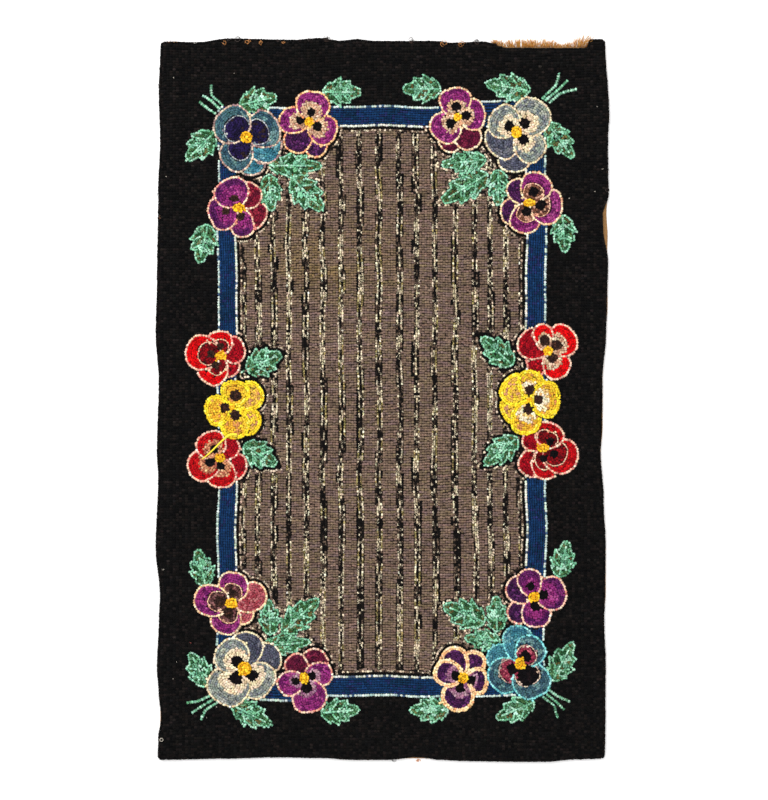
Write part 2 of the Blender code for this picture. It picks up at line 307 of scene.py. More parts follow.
    def top(self, x: np.ndarray, y: np.ndarray, margin: np.ndarray) -> np.ndarray:
        """Height of the loops' tops: over the hem and the swell, and rounded down at the rim."""
        share = np.interp(margin, (0, 2.5, 7, 16), (0.6, 0.88, 0.98, 1))
        share = share * (1 - self.swell * self.unevenness(x, y))
        return self.base(margin) + self.pile * share

    def base(self, margin: np.ndarray) -> np.ndarray:
        """Height of the cloth's upper side, plus the gap that the loops stand off it."""
        return self.layer + self.layer * np.interp(margin, (self.hem_line, self.flat_line), (1, 0))


OUTLINE = Outline()


@dataclass(frozen=True)
class Yarn:
    """A wool as it comes off its skein: one dye, or some that follow each other along the row.

    Attributes:
        dyes: The dyes.
        shares: How much of each there is; the rest is the last one's.
        patch: Width of the patches in which one dye keeps on; 0 where it changes loop by loop.
        vary: How much the loops differ in lightness.
        drift: Random change of each of red, green and blue.
        flecks: Dyes of the fibres spun in with the main ones; a shade of the loop's own where empty.
    """

    dyes: tuple[Dye, ...]
    shares: tuple[float, ...] = ()
    patch: float = 0.0
    vary: float = 0.12
    drift: float = 0.04
    flecks: tuple[Dye, ...] = ()

    def wind(self, x: np.ndarray, y: np.ndarray) -> np.ndarray:
        """Gives each loop its dye and its flecks.

        Args:
            x: Places of the loops across.
            y: Places of the loops along.

        Returns:
            Rows of six: linear red, green and blue of the wool, and the same of its flecks.
        """
        chance = np.random.default_rng([len(x), int(abs(x.sum()) * 10), int(abs(y.sum()) * 10)])
        pick = chance.random(len(x))
        if self.patch:
            spread = (patches(x, y, self.patch, 11 + len(self.dyes)) - 0.5) * 1.7 + 0.5
            pick = np.clip(0.3 * pick + 0.7 * spread, 0, 1)
        index = np.searchsorted(np.cumsum(self.shares), pick) if self.shares else np.zeros(len(x), int)
        colour = linear(self.dyes)[np.minimum(index, len(self.dyes) - 1)]
        lightness = np.exp(self.vary * chance.standard_normal(len(x)))[:, None]
        tint = np.exp(self.drift * chance.standard_normal((len(x), 3)))
        colour = colour * lightness * tint
        if self.flecks:
            fleck = linear(self.flecks)[chance.integers(0, len(self.flecks), len(x))] * lightness
        else:
            fleck = colour * np.exp(0.22 * chance.standard_normal(len(x)))[:, None]
        return np.clip(np.concatenate([colour, fleck], axis=1), 0, 1)


def resampled(path: np.ndarray, step: float, closed: bool = False) -> tuple[np.ndarray, np.ndarray]:
    """Spreads points evenly along a line.

    Args:
        path: The line's points, as rows of x and y.
        step: Distance wanted between two points; it is fitted to the whole length.
        closed: Whether the line goes back to its first point.

    Returns:
        The points, and the headings of the line there in radians.
    """
    if closed:
        path = np.concatenate([path, path[:1]])
    run = np.concatenate([[0], np.cumsum(np.hypot(*np.diff(path, axis=0).T))])
    count = max(1, round(run[-1] / step))
    at = (np.arange(count) + 0.5) * run[-1] / count
    points = np.stack([np.interp(at, run, path[:, 0]), np.interp(at, run, path[:, 1])], axis=1)
    reach = min(step / 2, run[-1] / 4)
    ahead = np.stack([np.interp(at + reach, run, path[:, i]) for i in (0, 1)])
    behind = np.stack([np.interp(at - reach, run, path[:, i]) for i in (0, 1)])
    way = ahead - behind
    return points, np.arctan2(way[1], way[0])


@dataclass(frozen=True)
class Blob:
    """A closed outline that can be seen whole from its middle.

    Attributes:
        middle: x and y of the point it is seen from.
        edge: Its points, counter-clockwise.
    """

    middle: np.ndarray
    edge: np.ndarray

    @classmethod
    def oval(
        cls,
        middle: tuple[float, float],
        direction: float,
        half_length: float,
        half_width: float,
        taper: float = 0.0,
        fullness: float = 2.25,
        seed: int = 0,
        wobble: float = 0.0,
    ) -> "Blob":
        """A superellipse, wider towards one end and a little uneven.

        The radius at angle t off the axis is that of |cos t / length|^n + |sin t / width|^n = 1, times
        1 plus three small waves. Distances across the axis are then widened by taper times cos t.

        Args:
            middle: x and y of the oval's middle.
            direction: Of its axis, in degrees from +X.
            half_length: Along the axis.
            half_width: Across it.
            taper: How much wider the far end is.
            fullness: The exponent n: 2 is an ellipse, more is squarer.
            seed: Picks the waves.
            wobble: Height of the waves, as a share of the radius.

        Returns:
            The oval.
        """
        chance = np.random.default_rng(seed)
        t = np.linspace(0, 2 * np.pi, 200, endpoint=False)
        power = np.abs(np.cos(t) / half_length) ** fullness + np.abs(np.sin(t) / half_width) ** fullness
        radius = power ** (-1 / fullness)
        for waves in (2, 3, 5):
            radius = radius * (1 + wobble * np.sin(waves * t + chance.uniform(0, 6.28)) / np.sqrt(waves))
        forward = radius * np.cos(t)
        aside = radius * np.sin(t) * (1 + taper * np.cos(t))
        turn = math.radians(direction)
        x = middle[0] + forward * math.cos(turn) - aside * math.sin(turn)
        y = middle[1] + forward * math.sin(turn) + aside * math.cos(turn)
        return cls(np.array(middle, float), np.stack([x, y], axis=1))

    def about(self, point: tuple[float, float], share: float) -> "Blob":
        """The same outline, scaled about a point."""
        point = np.array(point, float)
        return Blob(point + (self.middle - point) * share, point + (self.edge - point) * share)

    def holds(self, x: np.ndarray, y: np.ndarray, grow: float = 0.0) -> np.ndarray:
        """Whether places lie inside: nearer to the middle than the edge is in that direction."""
        away = self.edge - self.middle
        angle = np.arctan2(away[:, 1], away[:, 0])
        order = np.argsort(angle)
        radius = np.hypot(away[:, 0], away[:, 1])[order]
        dx, dy = x - self.middle[0], y - self.middle[1]
        return np.hypot(dx, dy) < grow + np.interp(
            np.arctan2(dy, dx), angle[order], radius, period=2 * np.pi
        )

    def contour(self, inset: float, step: float) -> tuple[np.ndarray, np.ndarray]:
        """Evenly spaced points at one distance inside the edge, or outside it where inset is below 0.

        The edge is moved along its own normals. Where that folds it over itself, the points that have
        come nearer to the edge than the inset are left out.

        Args:
            inset: Distance from the edge, inwards.
            step: Distance between two points.

        Returns:
            The points and their headings.
        """
        way = np.roll(self.edge, -1, axis=0) - np.roll(self.edge, 1, axis=0)
        way = way / np.maximum(np.hypot(way[:, 0], way[:, 1]), 1e-9)[:, None]
        moved = self.edge + np.stack([-way[:, 1], way[:, 0]], axis=1) * inset
        points, heading = resampled(moved, step, closed=True)
        gap = points[:, None, :] - self.edge[None, :, :]
        near = np.sqrt((gap**2).sum(axis=2).min(axis=1))
        keep = near > abs(inset) - 0.55
        if inset > 0:
            keep &= self.holds(points[:, 0], points[:, 1])
        return points[keep], heading[keep]


class Loops(NamedTuple):
    """Loops of one row, or of all rows."""

    x: np.ndarray
    y: np.ndarray
    heading: np.ndarray
    length: np.ndarray
    width: np.ndarray
    dye: np.ndarray
    part: np.ndarray


class Canvas:
    """The burlap while it is hooked: which places are taken, and by which loop.

    It is a raster. Each cell knows the distance to the loop that is nearest to it, which loop that is,
    and whether it lies in a motif that is finished.
    """

    CELL = 0.8
    HALF = (372.0, 590.0)
    REACH = 4.8

    def __init__(self) -> None:
        columns, rows = (int(2 * half / self.CELL) for half in self.HALF)
        self.near = np.full((rows, columns), 99.0, np.float32)
        self.who = np.full((rows, columns), -1, np.int32)
        self.owned = np.zeros((rows, columns), bool)
        self.rows: list[Loops] = []
        self.count = 0
        span = np.arange(-6, 7)
        across, along = np.meshgrid(span, span)
        distance = np.hypot(across, along) * self.CELL
        order = np.argsort(-distance, axis=None)
        order = order[distance.ravel()[order] <= self.REACH]
        self.disc = (across.ravel()[order], along.ravel()[order], distance.ravel()[order])
        self.chance = np.random.default_rng(3)

    def cells(self, x: np.ndarray, y: np.ndarray) -> tuple[np.ndarray, np.ndarray]:
        """Row and column of each place, held inside the raster by more than the disc's radius."""
        column = ((x + self.HALF[0]) / self.CELL).astype(int)
        row = ((y + self.HALF[1]) / self.CELL).astype(int)
        rows, columns = self.near.shape
        return np.clip(row, 7, rows - 8), np.clip(column, 7, columns - 8)

    def hook(
        self,
        points: np.ndarray,
        heading: np.ndarray,
        wind: Winder,
        part: Part,
        size: tuple[float, float] = (5.0, 4.4),
        clear: float = 2.6,
        over: bool = False,
        loose: float = 0.18,
    ) -> None:
        """Hooks a row of loops into the places that are free.

        Args:
            points: Middles of the loops, as rows of x and y.
            heading: Direction of each loop, in radians.
            wind: Gives the loops their dyes.
            part: The piece that they belong to.
            size: Length and width of a loop.
            clear: Distance to keep from loops that are there already.
            over: Whether places in finished motifs may be taken too.
            loose: How far the loops stray from their places, in mm.
        """
        if not len(points):
            return
        x, y = points[:, 0], points[:, 1]
        row, column = self.cells(x, y)
        free = (self.near[row, column] > clear) & (OUTLINE.margin(x, y) > 0.9)
        if not over:
            free &= ~self.owned[row, column]
        if not free.any():
            return
        x, y, heading, row, column = (a[free] for a in (x, y, heading, row, column))
        count = len(x)
        jitter = self.chance.normal(0, loose, (4, count))
        loops = Loops(
            x + jitter[0],
            y + jitter[1],
            heading + 0.35 * jitter[2],
            np.full(count, size[0]) * (1 + 0.15 * jitter[3]),
            np.full(count, size[1]) * (1 + 0.1 * jitter[2]),
            wind(x, y),
            np.full(count, list(Part).index(part)),
        )
        self.rows.append(loops)
        across, along, distance = self.disc
        rows = (row[None, :] + along[:, None]).ravel()
        columns = (column[None, :] + across[:, None]).ravel()
        distances = np.repeat(distance, count)
        nearer = distances < self.near[rows, columns]
        rows, columns = rows[nearer], columns[nearer]
        self.near[rows, columns] = distances[nearer]
        self.who[rows, columns] = np.tile(np.arange(count), len(distance))[nearer] + self.count
        self.count += count

    def line(
        self,
        path: np.ndarray,
        wind: Winder,
        part: Part,
        step: float = 4.1,
        size: tuple[float, float] = (5.0, 4.4),
        clear: float = 2.6,
        within: Callable[[np.ndarray, np.ndarray], np.ndarray] | None = None,
        loose: float = 0.18,
    ) -> None:
        """Hooks a row along a line.

        Args:
            path: The line's points.
            wind: Gives the loops their dyes.
            part: The piece that they belong to.
            step: Distance between two loops.
            size: Length and width of a loop.
            clear: Distance to keep from loops that are there already.
            within: Tells which places may be taken; all of them where it is None.
            loose: How far the loops stray from their places, in mm.
        """
        points, heading = resampled(np.asarray(path, float), step)
        if within is not None:
            keep = within(points[:, 0], points[:, 1])
            points, heading = points[keep], heading[keep]
        self.hook(points, heading, wind, part, size, clear, loose=loose)

    def fill(self, blob: Blob, wind: Winder, part: Part, first: float = 3.6, pitch: float = 3.6) -> None:
        """Fills a blob with rows that follow its edge, one inside the other."""
        inset = first
        while inset < 60:
            points, heading = blob.contour(inset, 4.0)
            if not len(points):
                break
            self.hook(points, heading, wind, part, (5.0, 4.8), 2.4, loose=0.42)
            inset += pitch
        self.hook(blob.middle[None, :], np.zeros(1), wind, part, (4.6, 4.4), 2.2)

    def own(self, blob: Blob, grow: float) -> None:
        """Marks a finished blob, so that nothing more goes into it."""
        reach = np.abs(blob.edge - blob.middle).max() + grow + 1
        row, column = self.cells(
            blob.middle[0] + np.array([-reach, reach]), blob.middle[1] + np.array([-reach, reach])
        )
        rows, columns = np.mgrid[row[0] : row[1] + 1, column[0] : column[1] + 1]
        x = (columns + 0.5) * self.CELL - self.HALF[0]
        y = (rows + 0.5) * self.CELL - self.HALF[1]
        self.owned[rows, columns] |= blob.holds(x, y, grow)

    def loops(self) -> Loops:
        """All loops so far."""
        return Loops(*(np.concatenate(columns) for columns in zip(*self.rows)))

    def fill_gaps(self, ground: "Ground") -> int:
        """Hooks loops into the gaps that the rows leave.

        In a motif they take the dye of the loop beside them, elsewhere that of the plain ground. The
        places are a fine square lattice, taken as sixteen coarse ones, one after the other.

        Args:
            ground: Tells which wool a place between the motifs has, and how far apart its loops stand.

        Returns:
            How many loops went in.
        """
        before = self.count
        fine = 1.3
        for offset in range(16):
            xs = np.arange(-368 + fine * (offset % 4), 368, 4 * fine)
            ys = np.arange(-586 + fine * (offset // 4), 586, 4 * fine)
            x, y = (grid.ravel() for grid in np.meshgrid(xs, ys))
            row, column = self.cells(x, y)
            gap = (self.near[row, column] > min(ground.gaps)) & (self.who[row, column] >= 0)
            gap &= OUTLINE.margin(x, y) > 1.2
            x, y, who = x[gap], y[gap], self.who[row, column][gap]
            known = self.loops()
            points, part = np.stack([x, y], axis=1), known.part[who]
            zone = np.where(self.owned[row, column][gap], part, ground.zone(x, y))
            for index, (name, clear) in enumerate(zip(Part, ground.gaps)):
                chosen = zone == index
                beside = who[chosen]
                wind = ground.plain(name)
                if name in (Part.PANSIES, Part.LEAVES):
                    wind = DyeOf(known, self).wind
                self.hook(points[chosen], known.heading[beside], wind, name, (4.4, 4.0), clear, True)
        return self.count - before


@dataclass(frozen=True)
class DyeOf:
    """Gives a loop in a gap the dye of the loop beside it."""

    known: Loops
    canvas: Canvas

    def wind(self, x: np.ndarray, y: np.ndarray) -> np.ndarray:
        """Looks up which loop is nearest to each place."""
        row, column = self.canvas.cells(x, y)
        who = np.clip(self.canvas.who[row, column], 0, len(self.known.x) - 1)
        return self.known.dye[who]


BLACK = Yarn(((9, 7, 7), (20, 15, 14), (5, 4, 5)), (0.6, 0.2), vary=0.3)
BORDER_BLACK = Yarn(((10, 9, 9), (20, 16, 15), (4, 4, 5)), (0.5, 0.3), vary=0.3)
GOLD = Yarn(((232, 176, 34), (206, 146, 25), (244, 198, 54)), (0.55, 0.25))
PEACH = Yarn(((236, 200, 160), (216, 162, 126), (244, 222, 188)), (0.5, 0.22), vary=0.15)
PINK_PEACH = Yarn(((234, 184, 158), (214, 136, 122), (244, 212, 186)), (0.5, 0.22), vary=0.15)
PEACH_ORANGE = Yarn(((236, 182, 130), (220, 148, 104), (242, 206, 164)), (0.55, 0.22), vary=0.15)
MAUVE_PEACH = Yarn(((196, 168, 150), (150, 120, 118), (222, 202, 178)), (0.4, 0.32), vary=0.15)
CREAM_LINE = Yarn(((226, 210, 172), (204, 178, 144), (240, 228, 198)), (0.5, 0.25), vary=0.15)
BRIGHT_PEACH = Yarn(((246, 204, 152), (228, 172, 120), (250, 222, 180)), (0.55, 0.2))
AQUA = Yarn(((128, 204, 202), (92, 168, 174), (160, 222, 216)), (0.55, 0.25))
SPOT_BLACK = Yarn(((12, 9, 12), (24, 16, 18)), (0.75,), vary=0.2)
SPOT_BROWN = Yarn(((46, 30, 26), (62, 38, 30)), (0.7,), vary=0.2)
EYE_LINE = Yarn(((232, 190, 158), (204, 148, 122)), (0.65,))
PALE_LINE = Yarn(((176, 180, 180), (112, 114, 126)), (0.6,))
MINT = Yarn(
    ((126, 192, 158), (92, 152, 120), (170, 218, 194)),
    (0.5, 0.32),
    vary=0.17,
    flecks=((182, 218, 194), (74, 120, 82), (128, 184, 146)),
)
LEAF_GREEN = Yarn(
    ((38, 80, 46), (58, 100, 62), (98, 78, 44), (108, 164, 126)),
    (0.4, 0.24, 0.2),
    patch=4.5,
    vary=0.2,
    flecks=((36, 72, 42), (104, 160, 120), (74, 104, 62)),
)
BLUE = Yarn(((17, 48, 86), (30, 40, 84), (13, 42, 72)), (0.6, 0.12), patch=14.0, vary=0.16)
BAND_OUTER = Yarn(((200, 215, 205), (160, 182, 178), (60, 84, 110)), (0.6, 0.3))
BAND_INNER = Yarn(((222, 224, 210), (184, 190, 176), (70, 84, 104)), (0.6, 0.3))
SPECKLE = Yarn(
    ((28, 22, 20), (112, 92, 78), (224, 204, 176)),
    (0.34, 0.38),
    vary=0.2,
    flecks=((222, 204, 176), (26, 20, 18), (118, 94, 78), (34, 27, 24)),
)
STRIPE = Yarn(
    ((18, 15, 14), (104, 86, 72), (218, 202, 172), (156, 140, 88)),
    (0.42, 0.15, 0.26),
    patch=18.0,
    vary=0.22,
    flecks=((18, 15, 13), (230, 216, 186), (30, 25, 22), (108, 90, 76), (20, 17, 15)),
)
STRIPE_CORE = Yarn(
    ((14, 11, 11), (72, 60, 51), (208, 192, 160)),
    (0.56, 0.1),
    patch=24.0,
    vary=0.25,
    flecks=((12, 10, 10), (200, 186, 158), (16, 13, 13), (20, 16, 15), (88, 74, 63)),
)


class Petal(NamedTuple):
    """One petal: direction of its axis in degrees, how far it reaches, and its width."""

    direction: float
    reach: float
    width: float


class Spot(NamedTuple):
    """A dark spot at a petal's root: distance from the flower's middle, size, and direction if its own."""

    distance: float
    size: float
    direction: float | None = None


@dataclass(frozen=True)
class PansyDyes:
    """The wools of one pansy.

    Attributes:
        outline: The single row round each petal.
        rim: The outer part of the three front petals.
        eye: Their inner part.
        back: The two petals behind.
        spot: The spots at the petals' roots.
        line: A row round the eye, if there is one.
        rows: How many rows the outline has.
    """

    outline: Yarn
    rim: Yarn
    eye: Yarn
    back: Yarn
    spot: Yarn = SPOT_BLACK
    line: Yarn | None = None
    rows: int = 1


@dataclass(frozen=True)
class Pansy:
    """One pansy, seen from the front: three front petals with an eye, and two petals behind.

    Attributes:
        x: Of its middle.
        y: Of its middle.
        front: The front petals; the first one lies on top.
        back: The petals behind.
        centre: Length and width of the golden middle.
        share: Size of the eye as a share of its petal, scaled about the flower's middle.
        spots: The spots at the roots of the front petals.
        dyes: Its wools.
    """

    x: float
    y: float
    front: tuple[Petal, ...]
    back: tuple[Petal, ...]
    centre: tuple[float, float]
    share: float
    spots: tuple[Spot, ...]
    dyes: PansyDyes

    def blob(self, petal: Petal) -> Blob:
        """The petal's outline: an oval from just off the middle to its reach, fuller at the far end."""
        half = (petal.reach - 1.0) / 2
        turn = math.radians(petal.direction)
        middle = (self.x + (half + 1.0) * math.cos(turn), self.y + (half + 1.0) * math.sin(turn))
        seed = int(abs(self.x) * 31 + abs(self.y) * 7 + petal.direction)
        return Blob.oval(middle, petal.direction, half, petal.width / 2, 0.1, 2.15, seed, 0.026)

    def hook(self, canvas: Canvas) -> list[Blob]:
        """Hooks the flower from its middle outwards, each petal's outline before its filling.

        Args:
            canvas: The canvas to hook into.

        Returns:
            Its petals' outlines.
        """
        middle = (self.x, self.y)
        heart = Blob.oval(middle, 0, self.centre[0] / 2, self.centre[1] / 2, seed=int(abs(self.x)))
        canvas.fill(heart, GOLD.wind, Part.PANSIES, 1.6, 3.4)
        canvas.own(heart, 0.3)
        for petal, spot in zip(self.front, self.spots):
            way = math.radians(petal.direction if spot.direction is None else spot.direction)
            place = (self.x + spot.distance * math.cos(way), self.y + spot.distance * math.sin(way))
            mark = Blob.oval(place, math.degrees(way), spot.size / 2, spot.size / 2)
            canvas.fill(mark, self.dyes.spot.wind, Part.PANSIES, 1.7, 3.5)
            canvas.own(mark, 0.2)
        blobs = []
        for petal in self.front:
            blob = self.blob(petal)
            eye = blob.about(middle, self.share)
            self.outline(canvas, blob)
            if self.dyes.line is not None:
                points, heading = eye.contour(0, 4.0)
                canvas.hook(points, heading, self.dyes.line.wind, Part.PANSIES, (4.6, 2.7), 2.3, loose=0.3)
            canvas.fill(blob, EyeAndRim(eye, self.dyes).wind, Part.PANSIES, 1.2 + 3.3 * self.dyes.rows)
            canvas.own(blob, 0.7)
            blobs.append(blob)
        for petal in self.back:
            blob = self.blob(petal)
            self.outline(canvas, blob)
            canvas.fill(blob, self.dyes.back.wind, Part.PANSIES, 1.2 + 3.3 * self.dyes.rows)
            canvas.own(blob, 0.7)
            blobs.append(blob)
        return blobs

    def outline(self, canvas: Canvas, blob: Blob) -> None:
        """Hooks the rows round a petal."""
        size = (4.8, 4.6) if self.dyes.rows == 1 else (5.0, 4.6)
        for row in range(self.dyes.rows):
            points, heading = blob.contour(1.2 + 3.3 * row, 3.9)
            canvas.hook(points, heading, self.dyes.outline.wind, Part.PANSIES, size, 2.4, loose=0.4)


@dataclass(frozen=True)
class EyeAndRim:
    """Gives a front petal's loops the eye's wool or the rim's, with an uneven line between the two."""

    eye: Blob
    dyes: PansyDyes

    def wind(self, x: np.ndarray, y: np.ndarray) -> np.ndarray:
        """Tells eye from rim by a blob that swells and shrinks by 1 mm from place to place."""
        feather = 2 * (patches(x, y, 5.0, 41) - 0.5)
        angle = np.arctan2(y - self.eye.middle[1], x - self.eye.middle[0])
        moved_x, moved_y = x + feather * np.cos(angle), y + feather * np.sin(angle)
        inside = self.eye.holds(moved_x, moved_y)
        return np.where(inside[:, None], self.dyes.eye.wind(x, y), self.dyes.rim.wind(x, y))


MAGENTA = Yarn(((134, 43, 106), (102, 28, 86), (160, 70, 128)), (0.55, 0.25), patch=7.0, vary=0.14)
RED = Yarn(((172, 12, 20), (146, 8, 16), (196, 26, 28)), (0.6, 0.22), patch=7.0)
BRIGHT_RED = Yarn(((208, 8, 14), (184, 6, 12), (222, 20, 20)), (0.65, 0.2), patch=7.0)
DARK_RED = Yarn(((150, 12, 26), (122, 8, 22), (176, 22, 32)), (0.55, 0.25), patch=8.0)
CLARET = Yarn(((116, 24, 44), (90, 18, 38), (138, 36, 54)), (0.5, 0.25), patch=8.0)
WINE = Yarn(((92, 22, 48), (70, 16, 40), (116, 34, 60)), (0.55, 0.25), patch=8.0)
DARK_PURPLE = Yarn(((70, 30, 72), (50, 22, 58), (90, 42, 92)), (0.55, 0.25), patch=8.0)
PURPLE = Yarn(((92, 32, 86), (70, 22, 74), (118, 44, 102)), (0.5, 0.25), patch=8.0)
GREY = Yarn(((134, 140, 132), (108, 114, 118), (160, 164, 150)), (0.5, 0.25), patch=7.0, vary=0.15)
SLATE = Yarn(((82, 84, 98), (64, 66, 80), (104, 104, 112)), (0.55, 0.25), patch=8.0)
SLATE_TEAL = Yarn(((66, 99, 107), (46, 74, 90), (97, 130, 130)), (0.5, 0.25), patch=8.0)
TEAL = Yarn(((66, 124, 138), (48, 102, 120), (98, 148, 156)), (0.55, 0.25), patch=8.0)
ROSE = Yarn(((166, 84, 92), (144, 56, 66), (186, 112, 114)), (0.5, 0.28), patch=8.0)
CREAM_EYE = Yarn(((226, 208, 176), (210, 188, 156), (194, 170, 142)), (0.7, 0.22))
PEACH_EYE = Yarn(((196, 158, 128), (172, 124, 100), (214, 188, 160)), (0.5, 0.25))
TAN_EYE = Yarn(((196, 134, 98), (166, 94, 72), (220, 174, 136)), (0.5, 0.3))
PLUM_EYE = Yarn(((140, 50, 70), (112, 34, 56), (166, 82, 94)), (0.5, 0.28), patch=5.0)
PALE_EYE = Yarn(((236, 222, 186), (226, 190, 120), (200, 160, 100)), (0.6, 0.25))
BROWN_EYE = Yarn(((112, 72, 56), (186, 140, 118), (80, 50, 44)), (0.5, 0.25), patch=5.0)
WINE_EYE = Yarn(((116, 12, 20), (140, 14, 22), (84, 12, 18)), (0.5, 0.2), patch=5.0)
MAUVE_EYE = Yarn(((158, 112, 134), (134, 82, 112), (182, 144, 156)), (0.5, 0.25), patch=4.0)
BROWN_MAUVE_EYE = Yarn(((98, 62, 60), (126, 86, 84), (68, 42, 42)), (0.5, 0.25), patch=5.0)
NAVY_EYE = Yarn(((36, 26, 68), (26, 20, 50), (44, 31, 32)), (0.5, 0.36), patch=6.0)
YELLOW = Yarn(((238, 210, 46), (222, 186, 38), (244, 226, 90)), (0.6, 0.25))
TAN_MOTTLE = Yarn(((214, 160, 46), (226, 188, 52), (198, 134, 76)), (0.42, 0.34), patch=5.0)
YELLOW_BACK = Yarn(((210, 164, 72), (228, 192, 56), (194, 138, 98)), (0.4, 0.34), patch=5.0)

